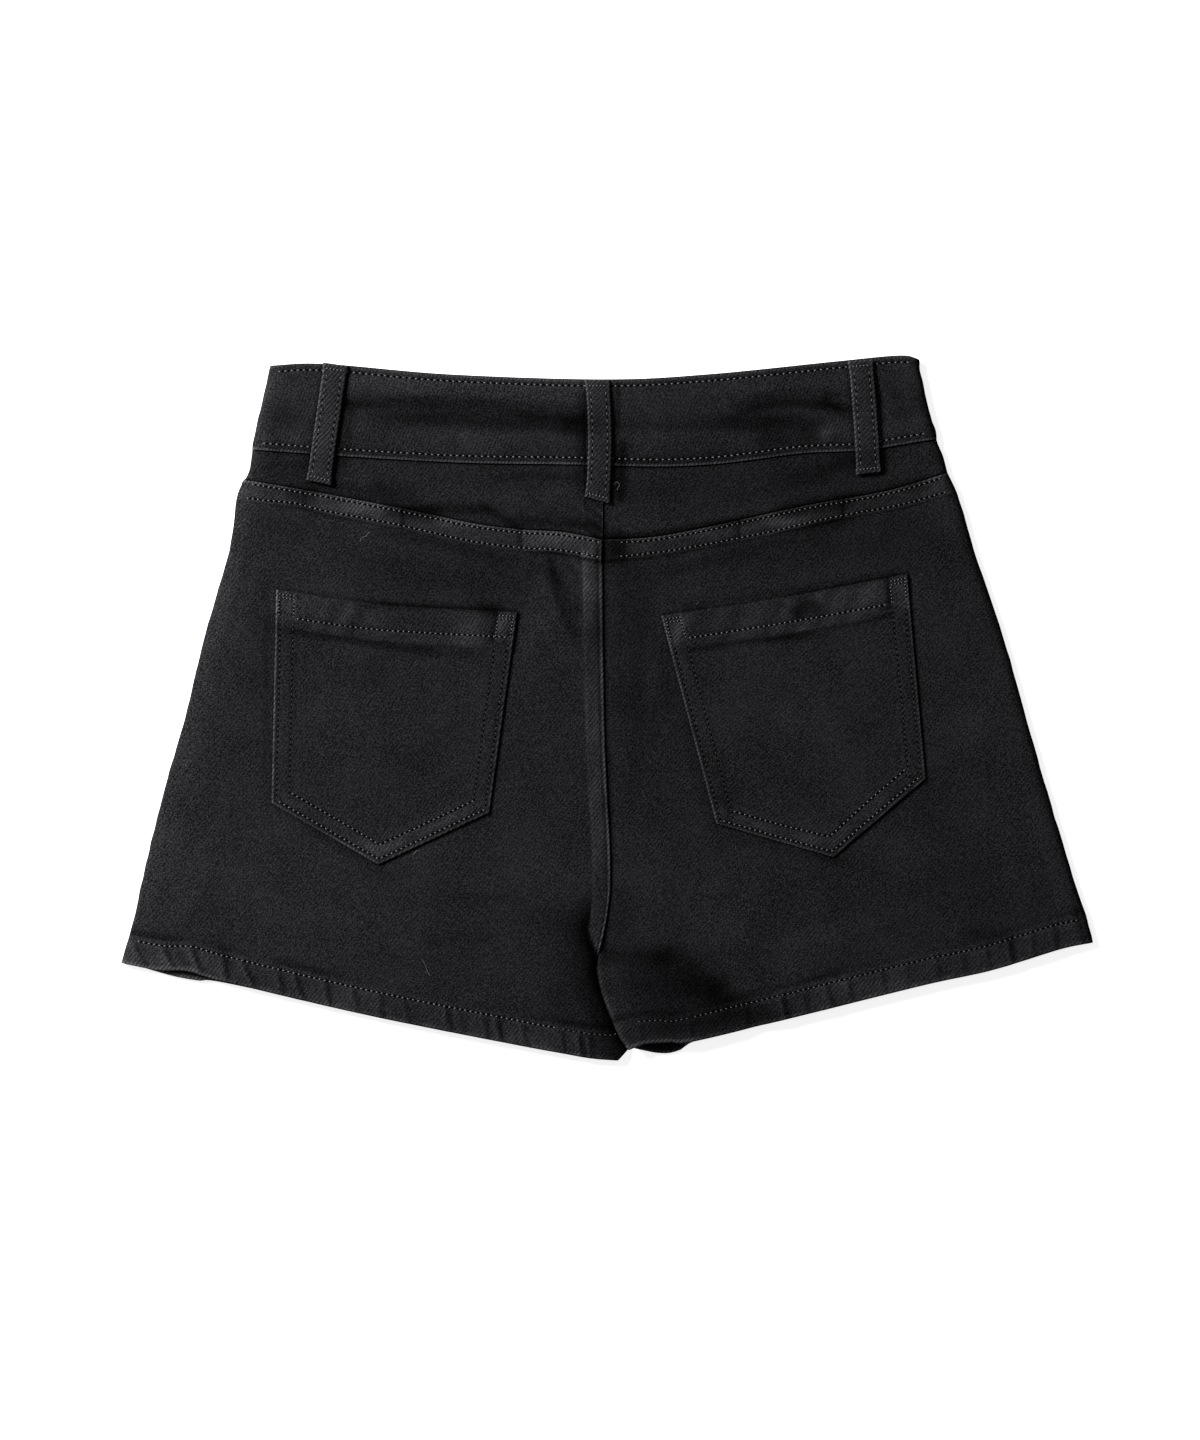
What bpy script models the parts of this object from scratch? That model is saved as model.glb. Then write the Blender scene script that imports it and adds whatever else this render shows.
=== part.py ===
"""A black denim skort laid flat on its front, seen from the back.

Every piece is a wall of cloth with the outline it is cut and sewn to. Lengths in the tables
are millimetres. X runs across the garment, Y up to its waist and Z up from the table. The
origin is on the table, under the middle of the garment.
"""

import math

import bmesh
import bpy
import numpy as np

MM = 0.001

# Cloth
DENIM = 1.2
LOOP_CLOTH = 1.6
SEAM_GAP = 0.3
POCKET_GAP = 0.4

# Heights over the table
EDGE_TOP = 5.6
AIR = 1.8
AIR_REACH = 28.0
SKIRT_TOP = DENIM + SEAM_GAP
SIDE_SEAM_UNDER = 9.0

# Widths and heights of the sewn edges
HEM = 13.5
HEM_PROUD = 0.5
SEAM_WIDTH = 8.5
SEAM_PROUD = 0.8
FELL_WIDTH = 10.0
STEP = 1.1
POCKET_MOUTH = 19.0
POCKET_MOUTH_PROUD = 0.8
WAISTBAND_PROUD = 1.0
FRONT_HEM_PROUD = 1.0

# Outlines: x, y
WAIST_TOP = (
    (-180.6, 184.7),
    (-151.5, 185.5),
    (-84.5, 179.8),
    (-1.4, 177.1),
    (54.3, 179.8),
    (123.4, 186.8),
    (158.0, 190.1),
    (167.7, 187.9),
)
WAIST_SEAM = (
    (-190.9, 139.3),
    (-161.7, 137.2),
    (-112.1, 133.9),
    (-71.0, 132.3),
    (-10.5, 132.0),
    (54.3, 132.6),
    (102.9, 138.8),
    (149.9, 142.0),
    (177.9, 146.3),
)
YOKE_SEAM_LEFT = (
    (-195.2, 123.1),
    (-160.7, 117.2),
    (-106.7, 106.9),
    (-71.0, 99.4),
    (-45.1, 95.6),
    (-1.9, 90.7),
)
YOKE_SEAM_RIGHT = (
    (-1.9, 90.7),
    (40.8, 95.6),
    (82.4, 104.8),
    (109.9, 110.7),
    (150.9, 118.8),
    (183.9, 126.9),
)
SIDE_LEFT = (
    (-195.2, 123.1),
    (-199.5, 112.0),
    (-203.3, 86.4),
    (-217.9, 34.6),
    (-227.1, -4.3),
    (-238.4, -43.2),
    (-248.1, -82.1),
    (-255.2, -114.5),
    (-261.6, -137.2),
)
SIDE_RIGHT = (
    (183.9, 126.9),
    (190.4, 112.3),
    (197.9, 86.4),
    (215.2, 34.6),
    (229.8, -17.3),
    (241.1, -56.2),
    (253.0, -95.0),
    (259.5, -114.5),
    (262.2, -126.1),
)
HEM_LEFT = (
    (-261.6, -137.2),
    (-239.0, -141.3),
    (-206.0, -146.9),
    (-130.4, -164.7),
    (-52.1, -180.4),
    (-24.0, -185.8),
    (5.1, -190.1),
    (11.6, -184.1),
)
HEM_RIGHT = (
    (13.8, -185.0),
    (25.7, -181.8),
    (45.1, -179.6),
    (100.2, -166.1),
    (169.8, -149.0),
    (207.1, -140.9),
    (243.8, -129.8),
    (262.2, -126.1),
)
CENTRE_BACK = (
    (-2.3, 132.0),
    (-1.9, 109.6),
    (-1.9, 90.7),
    (-2.1, 66.0),
    (-0.8, -16.5),
    (2.2, -82.1),
    (0.8, -109.6),
    (-5.4, -138.6),
)
INSEAM_LEFT = (
    (-5.4, -138.6),
    (-4.8, -145.0),
    (0.0, -153.0),
    (5.5, -161.0),
    (9.0, -169.0),
    (11.6, -184.1),
)
INSEAM_RIGHT = (
    (-5.4, -138.6),
    (-4.2, -147.0),
    (-1.9, -155.0),
    (4.4, -165.2),
    (7.2, -176.0),
    (13.8, -185.0),
)
CROTCH = CENTRE_BACK[-1]

# Folds of the laid cloth: middle x, y, slant in degrees, length, half width, height
FOLDS = (
    (-78.0, 160.5, -2.0, 128.0, 5.0, -0.9),
    (42.0, 155.0, 2.0, 78.0, 5.0, -0.8),
    (100.0, 163.0, 6.0, 62.0, 5.0, -0.8),
    (-70.0, 110.0, -8.0, 55.0, 5.0, -0.6),
    (-27.0, 46.0, -72.0, 80.0, 8.0, 0.7),
    (40.0, -122.0, -9.0, 95.0, 17.0, 1.7),
    (-95.0, -100.0, -28.0, 90.0, 12.0, 0.5),
    (150.0, -95.0, 24.0, 80.0, 12.0, 0.5),
    (-205.0, 0.0, 74.0, 110.0, 12.0, 0.5),
    (205.0, 10.0, -74.0, 100.0, 12.0, 0.5),
)

# Where the legs cross below the crotch
VALLEY_DEPTH = 1.3
VALLEY_REACH = 13.0
VALLEY_START = -80.0
VALLEY_LENGTH = 55.0
RIGHT_LEG_LIFT = 2.9
LIFT_REACH = 72.0
LEG_EDGE_DROP = 2.9
LEG_EDGE_ROLL = 4.5
RIGHT_EDGE_DROP = 1.6
CURL_WIDTH = 7.0

# Belt loops: x and y of the middle of the top end, then of the bottom end
LOOPS = {
    "loop_left": ((-145.5, 185.0), (-154.7, 122.3)),
    "loop_centre": ((-4.8, 176.3), (-5.4, 112.7)),
    "loop_right": ((137.3, 187.4), (141.7, 127.3)),
}
LOOP_WIDTH = 12.8
# Down the loop: share of its length, lift over what it lies on
LOOP_RUN = (
    (0.0, 0.0),
    (0.06, 0.1),
    (0.16, 0.6),
    (0.32, 1.1),
    (0.5, 1.2),
    (0.66, 0.9),
    (0.8, 0.6),
    (0.93, 0.2),
    (1.0, 0.0),
)

# Patch pockets: the corners, as x, y, with the mouth's sag between the top two
POCKETS = {
    "pocket_left": {
        "mouth": ((-178.7, 63.7), (-120.7, 55.5), (-47.5, 51.7)),
        "left": ((-178.7, 63.7), (-181.2, -50.2)),
        "right": ((-47.5, 51.7), (-62.0, -55.6)),
        "point": (-123.4, -84.0),
    },
    "pocket_right": {
        "mouth": ((28.9, 49.4), (96.0, 59.5), (162.8, 72.4)),
        "left": ((28.9, 49.4), (58.6, -60.9)),
        "right": ((162.8, 72.4), (173.1, -37.3)),
        "point": (123.4, -79.2),
    },
}

# The hidden front: x, y
CENTRE_FRONT = (
    (0.0, 127.6),
    (0.0, 0.0),
    (-4.0, -110.0),
    (-4.9, -137.0),
)
FRONT_INSEAM_LEFT = ((-4.9, -137.0), (-4.8, -146.0), (5.0, -162.0), (11.0, -182.5))
FRONT_INSEAM_RIGHT = ((-4.6, -137.0), (1.6, -151.0), (9.2, -164.0), (13.4, -182.5))
FRONT_HEM_LEFT = (
    (-219.5, -146.6),
    (-206.0, -147.9),
    (-130.4, -164.0),
    (-52.1, -179.4),
    (11.0, -187.0),
)
FRONT_HEM_RIGHT = (
    (13.4, -184.0),
    (24.6, -185.8),
    (36.0, -184.0),
    (60.0, -175.5),
    (169.8, -148.4),
)
FRONT_WAIST_DROP = 4.0
# The skirt panel is sewn into the waistband and both side seams
UNDER_GAP = 0.9
SKIRT_HEM_CENTRE = (0.0, -166.0)
SKIRT_SEAM_SHARE = 0.98
SKIRT_CLEAR = 8.0
SKIRT_RAMP = 9.0


def clear_scene():
    """Remove whatever the file holds."""
    for obj in list(bpy.data.objects):
        bpy.data.objects.remove(obj, do_unlink=True)


def smooth(share):
    """Ease from 0 to 1 as the share goes from 0 to 1."""
    share = min(1.0, max(0.0, share))
    return share * share * (3.0 - 2.0 * share)


class Line:
    """A smooth line through the points of a table, read by its share of length."""

    STEPS = 8

    def __init__(self, *tables):
        runs = [self.run(np.array(table, float)) for table in tables]
        self.points = np.concatenate(runs)
        lengths = np.linalg.norm(np.diff(self.points, axis=0), axis=1)
        self.length = lengths.sum()
        self.shares = np.concatenate([[0.0], np.cumsum(lengths)]) / self.length

    def run(self, points):
        """Cubic pieces whose slope at each point is that between its neighbours."""
        if len(points) < 3:
            return points
        slopes = np.gradient(points, axis=0)
        steps = np.linspace(0.0, 1.0, self.STEPS, endpoint=False)[:, None]
        curve = []
        for a, b, slope_a, slope_b in zip(points, points[1:], slopes, slopes[1:]):
            blend = steps * steps * (3.0 - 2.0 * steps)
            curve.append(
                a * (1.0 - blend)
                + b * blend
                + slope_a * steps * (1.0 - steps) ** 2
                - slope_b * steps**2 * (1.0 - steps)
            )
        return np.concatenate([*curve, points[-1:]])

    def at(self, share):
        """The point at this share of the line."""
        x = np.interp(share, self.shares, self.points[:, 0])
        y = np.interp(share, self.shares, self.points[:, 1])
        return np.array([x, y])

    def x_at(self, y):
        """The x of a line that runs down the garment, at this height."""
        down = self.points[::-1]
        return float(np.interp(y, down[:, 1], down[:, 0]))

    def moved(self, x=0.0, y=0.0):
        """A copy of the line moved across or up."""
        copy = Line.__new__(Line)
        copy.points = self.points + np.array([x, y])
        copy.length = self.length
        copy.shares = self.shares
        return copy

    def share_at_y(self, y):
        """How far down the line this height lies."""
        return float(np.interp(-y, -self.points[:, 1], self.shares))


class Outline:
    """The four sides of a piece. Its inside points are spread between them."""

    def __init__(self, top, bottom, left, right):
        self.top = top
        self.bottom = bottom
        self.left = left
        self.right = right

    def at(self, across, down):
        """The plan point at these shares from the left side and from the top."""
        top = self.top.at(across)
        bottom = self.bottom.at(across)
        left = self.left.at(down)
        right = self.right.at(down)
        corners = (
            (1 - across) * (1 - down) * self.top.at(0.0)
            + across * (1 - down) * self.top.at(1.0)
            + (1 - across) * down * self.bottom.at(0.0)
            + across * down * self.bottom.at(1.0)
        )
        sides = (1 - across) * left + across * right
        return (1 - down) * top + down * bottom + sides - corners

    def width(self, down):
        return np.linalg.norm(self.right.at(down) - self.left.at(down))

    def height(self, across):
        return np.linalg.norm(self.top.at(across) - self.bottom.at(across))


WAIST_LEFT = (WAIST_TOP[0], WAIST_SEAM[0])
WAIST_RIGHT = (WAIST_TOP[-1], WAIST_SEAM[-1])
YOKE_SIDE_LEFT = (WAIST_SEAM[0], (-193.2, 126.0), YOKE_SEAM_LEFT[0])
YOKE_SIDE_RIGHT = (WAIST_SEAM[-1], (182.2, 133.0), YOKE_SEAM_RIGHT[-1])
BODY_LEFT = Line(WAIST_LEFT, YOKE_SIDE_LEFT, SIDE_LEFT)
BODY_RIGHT = Line(WAIST_RIGHT, YOKE_SIDE_RIGHT, SIDE_RIGHT)
SEAM_AND_LEFT_LEG = Line(CENTRE_BACK, INSEAM_LEFT)
SEAM_AND_RIGHT_LEG = Line(CENTRE_BACK, INSEAM_RIGHT)


def fold_height(x, y):
    """The sum of the folds at this point."""
    height = 0.0
    for fold_x, fold_y, slant, length, half_width, rise in FOLDS:
        turn = math.radians(slant)
        along = (x - fold_x) * math.cos(turn) + (y - fold_y) * math.sin(turn)
        across = (y - fold_y) * math.cos(turn) - (x - fold_x) * math.sin(turn)
        end = smooth((0.62 * length - abs(along)) / (0.3 * length))
        height += rise * end * math.exp(-((across / half_width) ** 2))
    return height


def cloth_top(x, y, side):
    """Height of the back's plain outer face. The side is -1 left of the seam, 1 right."""
    inboard = min(x - BODY_LEFT.x_at(y), BODY_RIGHT.x_at(y) - x)
    puff = AIR * (1.0 - math.exp(-max(inboard - 3.0, 0.0) / AIR_REACH))
    height = EDGE_TOP + puff + fold_height(x, y) * smooth((inboard - 3.0) / 12.0)
    below = CROTCH[1] - y
    seam = SEAM_AND_LEFT_LEG if side < 0 else SEAM_AND_RIGHT_LEG
    inward = abs(x - seam.x_at(y))
    dip = VALLEY_DEPTH * smooth((VALLEY_START - y) / VALLEY_LENGTH)
    dip *= math.exp(-((inward / VALLEY_REACH) ** 2))
    crossed = smooth(below / 10.0)
    if side < 0:
        roll = 1.0 - math.sqrt(1.0 - (1.0 - min(inward / LEG_EDGE_ROLL, 1.0)) ** 2)
        return height - dip - LEG_EDGE_DROP * roll * smooth((below + 6.0) / 7.0)
    lift = RIGHT_LEG_LIFT * crossed * smooth((LIFT_REACH - inward) / (LIFT_REACH - 10.0))
    roll = 1.0 - math.sqrt(1.0 - (1.0 - min(inward / LEG_EDGE_ROLL, 1.0)) ** 2)
    return height - dip * (1.0 - crossed) + lift - RIGHT_EDGE_DROP * roll * crossed


def spread(first, last, count):
    """Inner stations between two offsets: share, offset."""
    shares = [(i + 1) / (count + 1) for i in range(count)]
    return [(share, first * (1 - share) + last * share) for share in shares]


def denim(name, colour, roughness):
    """A plain dull cloth."""
    material = bpy.data.materials.new(name)
    material.use_nodes = True
    shader = material.node_tree.nodes["Principled BSDF"]
    shader.inputs["Base Color"].default_value = (*colour, 1.0)
    shader.inputs["Roughness"].default_value = roughness
    shader.inputs["Metallic"].default_value = 0.0
    material.diffuse_color = (*colour, 1.0)
    return material


def cloth_wall(name, columns, rows, outer, inner, material):
    """A closed wall: a grid laid on the outer face, then extruded to the inner face."""
    mesh = bpy.data.meshes.new(name)
    bm = bmesh.new()
    bmesh.ops.create_grid(
        bm, x_segments=len(columns) - 1, y_segments=len(rows) - 1, size=1.0
    )
    column_of = bm.verts.layers.int.new("column")
    row_of = bm.verts.layers.int.new("row")
    for vert in bm.verts:
        vert[column_of] = round((vert.co.x + 1.0) / 2.0 * (len(columns) - 1))
        vert[row_of] = round((1.0 - vert.co.y) / 2.0 * (len(rows) - 1))
    first = list(bm.verts)
    made = bmesh.ops.extrude_face_region(bm, geom=list(bm.faces))
    second = [item for item in made["geom"] if isinstance(item, bmesh.types.BMVert)]
    for verts, face in ((first, outer), (second, inner)):
        for vert in verts:
            column = columns[vert[column_of]]
            row = rows[vert[row_of]]
            vert.co = [value * MM for value in face(column, row)]
    bmesh.ops.recalc_face_normals(bm, faces=bm.faces)
    bm.verts.layers.int.remove(bm.verts.layers.int["column"])
    bm.verts.layers.int.remove(bm.verts.layers.int["row"])
    bm.to_mesh(mesh)
    bm.free()
    mesh.materials.append(material)
    mesh.shade_smooth()
    mesh.set_sharp_from_angle(angle=math.radians(50))
    obj = bpy.data.objects.new(name, mesh)
    bpy.context.scene.collection.objects.link(obj)
    return obj


class BackPiece:
    """A piece of the back that may fold round a side of the garment and under it.

    A column is (place, amount, offset, proud). On top, its place is "top", with a share of
    the width and an offset. Round a side it is "left" or "right", with degrees, and under
    the garment "under", with a share and an offset. A row is (share, offset, proud, deep).
    """

    def __init__(self, outline, side, thickness, under_drop=None):
        self.outline = outline
        self.side = side
        self.thickness = thickness
        self.under_drop = under_drop or (lambda share: 0.0)

    def plan(self, share, offset, row):
        down_share, down_offset = row[:2]
        height = self.outline.height(share)
        down = down_share + down_offset / height
        across = share + offset / self.outline.width(down)
        return self.outline.at(across, down), across, down

    def lies_on(self, x, y):
        side = self.side or (-1 if x < CENTRE_BACK[0][0] else 1)
        return cloth_top(x, y, side)

    def skin(self, column, row, outside):
        """The point of the outer or the inner face."""
        place, amount, offset, proud = column
        row_proud, deep = row[2:]
        rise = max(proud, row_proud)
        if place == "top":
            (x, y), _, _ = self.plan(amount, offset, row)
            top = self.lies_on(x, y)
            return x, y, top + rise if outside else top - self.thickness - deep
        if place == "under":
            (x, y), across, _ = self.plan(amount, offset, row)
            y -= self.under_drop(across)
            wall = self.thickness + rise + deep
            return x, y, 0.0 if outside else wall
        rim = 0.0 if place == "left" else 1.0
        (x, y), _, down = self.plan(rim, 0.0, row)
        near, _, _ = self.plan(rim, 3.0 if place == "left" else -3.0, row)
        radius = (self.lies_on(*near) + rise) / 2.0
        reach = radius if outside else radius - self.thickness - rise - deep
        turn = math.radians(amount)
        inward = radius - reach * math.cos(turn)
        x += inward if place == "left" else -inward
        return x, y, radius + reach * math.sin(turn)

    def build(self, name, columns, rows, material):
        return cloth_wall(
            name,
            columns,
            rows,
            lambda column, row: self.skin(column, row, True),
            lambda column, row: self.skin(column, row, False),
            material,
        )


FOLD_TURNS = (-90.0, -50.0, -15.0, 15.0, 50.0, 90.0)


def fold_columns(place):
    """Stations round a side fold, from under the garment to its top."""
    columns = [(place, turn, 0.0, 0.0) for turn in FOLD_TURNS]
    return columns if place == "left" else columns[::-1]


def make_waistband(material):
    """One strip round the waist. Its ends meet at the centre front, under the back."""
    outline = Outline(
        Line(WAIST_TOP), Line(WAIST_SEAM), Line(WAIST_LEFT), Line(WAIST_RIGHT)
    )
    piece = BackPiece(outline, 0, DENIM, front_drop)
    rise = WAISTBAND_PROUD
    middle = 0.515
    half = SEAM_GAP / 2.0
    under_left = [("under", middle, -half, rise)]
    under = (0.0, 0.06, 0.12, 0.18, 0.26, 0.34, 0.43)
    under_left += [("under", share, 8.0, rise) for share in under[::-1]]
    top = [("top", 0.0, 8.0, rise)]
    top += [("top", s, o, rise) for s, o in spread(8.0, -8.0, 27)]
    top += [("top", 1.0, -8.0, rise)]
    under_right = [("under", 1.0 - share, -8.0, rise) for share in under]
    under_right += [("under", middle, half, rise)]
    columns = [
        *under_left,
        *[(p, a, o, rise) for p, a, o, _ in fold_columns("left")],
        *top,
        *[(p, a, o, rise) for p, a, o, _ in fold_columns("right")],
        *under_right,
    ]
    rows = [(0.0, 0.0, 0.0, 0.0), (0.0, 5.0, 0.0, 0.0)]
    rows += [(share, 0.0, 0.0, 0.0) for share in (0.3, 0.42, 0.54, 0.68)]
    rows += [(1.0, -6.0, 0.0, 0.0), (1.0, -SEAM_GAP, 0.0, 0.0)]
    return piece.build("waistband", columns, rows, material)


def yoke_outlines():
    """The yoke's two halves, cut from the waist seam, the centre back and the sides."""
    seam = Line(CENTRE_BACK)
    cut = seam.share_at_y(YOKE_SEAM_LEFT[-1][1])
    centre = Line([seam.at(share) for share in np.linspace(0.0, cut, 4)])
    waist = Line(WAIST_SEAM)
    split = float(np.interp(CENTRE_BACK[0][0], waist.points[:, 0], waist.shares))
    waist_left = Line([waist.at(share) for share in np.linspace(0.0, split, 14)])
    waist_right = Line([waist.at(share) for share in np.linspace(split, 1.0, 14)])
    half = SEAM_GAP / 2.0
    left = Outline(
        waist_left, Line(YOKE_SEAM_LEFT), Line(YOKE_SIDE_LEFT), centre.moved(-half)
    )
    right = Outline(
        waist_right, Line(YOKE_SEAM_RIGHT), centre.moved(half), Line(YOKE_SIDE_RIGHT)
    )
    return left, right


def back_outlines():
    """The two leg panels, cut from the yoke seam, the sides, the hems and the inseams."""
    half = SEAM_GAP / 2.0
    from_yoke = CENTRE_BACK[2:]
    left = Outline(
        Line(YOKE_SEAM_LEFT),
        Line(HEM_LEFT[:-1], HEM_LEFT[-2:]),
        Line(SIDE_LEFT),
        Line(from_yoke, INSEAM_LEFT).moved(-half),
    )
    right = Outline(
        Line(YOKE_SEAM_RIGHT),
        Line(HEM_RIGHT),
        Line(from_yoke, INSEAM_RIGHT).moved(half),
        Line(SIDE_RIGHT),
    )
    return left, right


YOKE_LEFT, YOKE_RIGHT = yoke_outlines()
BACK_LEFT, BACK_RIGHT = back_outlines()


def make_yokes(material):
    """The two halves of the yoke, which meet at the centre back."""
    rows = [(0.0, SEAM_GAP, 0.0, 0.0)]
    rows += [(share, 0.0, 0.0, 0.0) for share in (0.2, 0.42, 0.64, 0.84)]
    rows += [(1.0, -SEAM_GAP, 0.0, 0.0)]
    columns = [("under", 0.0, SIDE_SEAM_UNDER, 0.0), *fold_columns("left")]
    columns += [("top", 0.0, 7.0, 0.0)]
    columns += [("top", s, o, 0.0) for s, o in spread(7.0, -FELL_WIDTH - STEP, 13)]
    columns += [("top", 1.0, -FELL_WIDTH - STEP, 0.0)]
    columns += [("top", 1.0, offset, SEAM_PROUD) for offset in (-FELL_WIDTH, 0.0)]
    BackPiece(YOKE_LEFT, -1, DENIM).build("yoke_left", columns, rows, material)
    columns = [("top", 0.0, 0.0, 0.0)]
    columns += [("top", s, o, 0.0) for s, o in spread(0.0, -7.0, 14)]
    columns += [("top", 1.0, -7.0, 0.0), *fold_columns("right")]
    columns += [("under", 1.0, -SIDE_SEAM_UNDER, 0.0)]
    BackPiece(YOKE_RIGHT, 1, DENIM).build("yoke_right", columns, rows, material)


def leg_rows(count):
    """Down a back panel: the lapped yoke seam, the leg and the turned hem."""
    rows = [(0.0, 0.0, SEAM_PROUD, 0.0), (0.0, SEAM_WIDTH, SEAM_PROUD, 0.0)]
    rows += [(0.0, SEAM_WIDTH + STEP, 0.0, 0.0)]
    inner = spread(SEAM_WIDTH + STEP, -HEM - STEP, count)
    rows += [(share, offset, 0.0, 0.0) for share, offset in inner]
    rows += [(1.0, -HEM - STEP, 0.0, 0.0), (1.0, -HEM, HEM_PROUD, HEM_PROUD)]
    return rows + [(1.0, -HEM / 2, HEM_PROUD, HEM_PROUD), (1.0, 0.0, 0.2, HEM_PROUD)]


def make_back_panels(material):
    """The back of each leg, from the yoke to the hem, under itself at the side."""
    rows = leg_rows(15)
    columns = [("under", 0.0, SIDE_SEAM_UNDER, 0.0), *fold_columns("left")]
    columns += [("top", 0.0, 7.0, 0.0)]
    columns += [("top", s, o, 0.0) for s, o in spread(7.0, -FELL_WIDTH - STEP, 17)]
    columns += [("top", 1.0, -FELL_WIDTH - STEP, 0.0), ("top", 1.0, -FELL_WIDTH, 0.0)]
    columns += [("top", 1.0, -4.5, 0.0), ("top", 1.0, -1.6, 0.0), ("top", 1.0, 0.0, 0.0)]
    FelledPiece(BACK_LEFT, -1, DENIM).build("back_left", columns, rows, material)
    columns = [("top", 0.0, 0.0, 0.0), ("top", 0.0, 1.6, 0.0), ("top", 0.0, 4.5, 0.0)]
    columns += [("top", s, o, 0.0) for s, o in spread(4.5, -7.0, 19)]
    columns += [("top", 1.0, -7.0, 0.0), *fold_columns("right")]
    columns += [("under", 1.0, -SIDE_SEAM_UNDER, 0.0)]
    BackPiece(BACK_RIGHT, 1, DENIM).build("back_right", columns, rows, material)


class FelledPiece(BackPiece):
    """The left back panel: down to the crotch its felled edge stands proud."""

    def skin(self, column, row, outside):
        place, share, offset, proud = column
        if place == "top" and share == 1.0 and offset > -FELL_WIDTH - STEP / 2:
            (_, y), _, _ = self.plan(share, offset, row)
            proud = SEAM_PROUD * smooth((y - CROTCH[1]) / 12.0)
        return super().skin((place, share, offset, proud), row, outside)


def make_pockets(material):
    """Patch pockets: the shape of the panel beneath, moved out."""
    for name, corners in POCKETS.items():
        side = -1 if name.endswith("left") else 1
        foot = (corners["left"][-1], corners["point"], corners["right"][-1])
        bottom = Line(foot[:2], foot[1:])
        first = np.hypot(*np.subtract(foot[1], foot[0]))
        turn = first / bottom.length
        outline = Outline(
            Line(corners["mouth"]), bottom, Line(corners["left"]), Line(corners["right"])
        )
        shares = [turn * i / 5 for i in range(5)]
        shares += [turn + (1.0 - turn) * i / 5 for i in range(6)]
        rows = [(0.0, offset, POCKET_MOUTH_PROUD) for offset in (0.0, POCKET_MOUTH)]
        rows += [(0.0, POCKET_MOUTH + STEP, 0.0)]
        rows += [(s, o, 0.0) for s, o in spread(POCKET_MOUTH + STEP, 0.0, 6)]
        rows += [(1.0, 0.0, 0.0)]

        def face(column, row, lift, outline=outline, side=side):
            down = row[0] + row[1] / outline.height(column)
            x, y = outline.at(column, down)
            return x, y, cloth_top(x, y, side) + POCKET_GAP + lift(row[2])

        cloth_wall(
            name,
            shares,
            rows,
            lambda column, row, face=face: face(column, row, lambda proud: DENIM + proud),
            lambda column, row, face=face: face(column, row, lambda proud: 0.0),
            material,
        )


def make_loops(material):
    """Belt loops: caught at the top of the waistband and on the yoke below it."""
    waist_line = Line(WAIST_SEAM)
    for name, (head, foot) in LOOPS.items():
        head = np.array(head)
        foot = np.array(foot)
        down = (foot - head) / np.linalg.norm(foot - head)
        across = np.array([-down[1], down[0]])
        seam_y = float(np.interp(head[0], waist_line.points[:, 0], waist_line.points[:, 1]))

        def face(column, row, lift, head=head, foot=foot, across=across, seam_y=seam_y):
            share, bow = row
            x, y = head + (foot - head) * share + across * LOOP_WIDTH * column
            middle_x, middle_y = head + (foot - head) * share
            side = -1 if middle_x < 0 else 1
            flat = EDGE_TOP + AIR + WAISTBAND_PROUD
            off_band = smooth((seam_y - 1.5 - middle_y) / 12.0)
            ground = max(flat, cloth_top(middle_x, middle_y, side) + WAISTBAND_PROUD)
            arch = 0.25 * (1.0 - 4.0 * column * column)
            z = ground + SEAM_GAP + bow + arch - 0.15 * off_band
            return x, y, z + lift

        cloth_wall(
            name,
            [-0.5, -0.2, 0.2, 0.5],
            LOOP_RUN,
            lambda column, row, face=face: face(column, row, LOOP_CLOTH),
            lambda column, row, face=face: face(column, row, 0.0),
            material,
        )


def front_drop(share):
    """How far the front of the waistband lies below its back, at this share across."""
    return FRONT_WAIST_DROP * smooth(min(share, 1.0 - share) / 0.2)


def front_waist(first, last, count):
    """The cut top of a front piece, along the lower edge of the waistband's front."""
    waist = Line(WAIST_SEAM)
    points = []
    for share in np.linspace(first, last, count):
        points.append(waist.at(share) - np.array([0.0, front_drop(share) + UNDER_GAP]))
    return points


def side_seam(yoke, back, side, last=1.0):
    """The side seam, which lies under the garment, from the waist to near the hem."""
    points = []
    for outline, shares in ((yoke, (0.02, 0.5, 0.98)), (back, np.linspace(0.02, last, 12))):
        for down in shares:
            inset = (SIDE_SEAM_UNDER + UNDER_GAP) / outline.width(down)
            points.append(outline.at(inset if side < 0 else 1.0 - inset, down))
    return points


def skirt_outline():
    """The apron, from the waistband to a hem above the legs' hems."""
    left = side_seam(YOKE_LEFT, BACK_LEFT, -1, SKIRT_SEAM_SHARE)
    right = side_seam(YOKE_RIGHT, BACK_RIGHT, 1, SKIRT_SEAM_SHARE)
    top = front_waist(0.03, 0.97, 11)
    left = [top[0], *left[1:]]
    right = [top[-1], *right[1:]]
    hem = (left[-1], SKIRT_HEM_CENTRE, right[-1])
    return Outline(Line(top), Line(hem), Line(left), Line(right))


def over_skirt(outline, x, y):
    """1 where the front legs lie on the apron, falling to 0 below its hem."""
    hem = outline.bottom.points
    hem_y = float(np.interp(x, hem[:, 0], hem[:, 1]))
    return 1.0 - smooth((hem_y - SKIRT_CLEAR - y) / SKIRT_RAMP)


def make_skirt_panel(material):
    """The apron lies lowest, flat on the table."""
    outline = skirt_outline()
    columns = np.linspace(0.0, 1.0, 13)
    rows = np.linspace(0.0, 1.0, 19)

    def face(column, row, z):
        x, y = outline.at(column, row)
        return x, y, z

    cloth_wall(
        "skirt_panel",
        columns,
        rows,
        lambda column, row: face(column, row, 0.0),
        lambda column, row: face(column, row, DENIM),
        material,
    )


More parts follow.
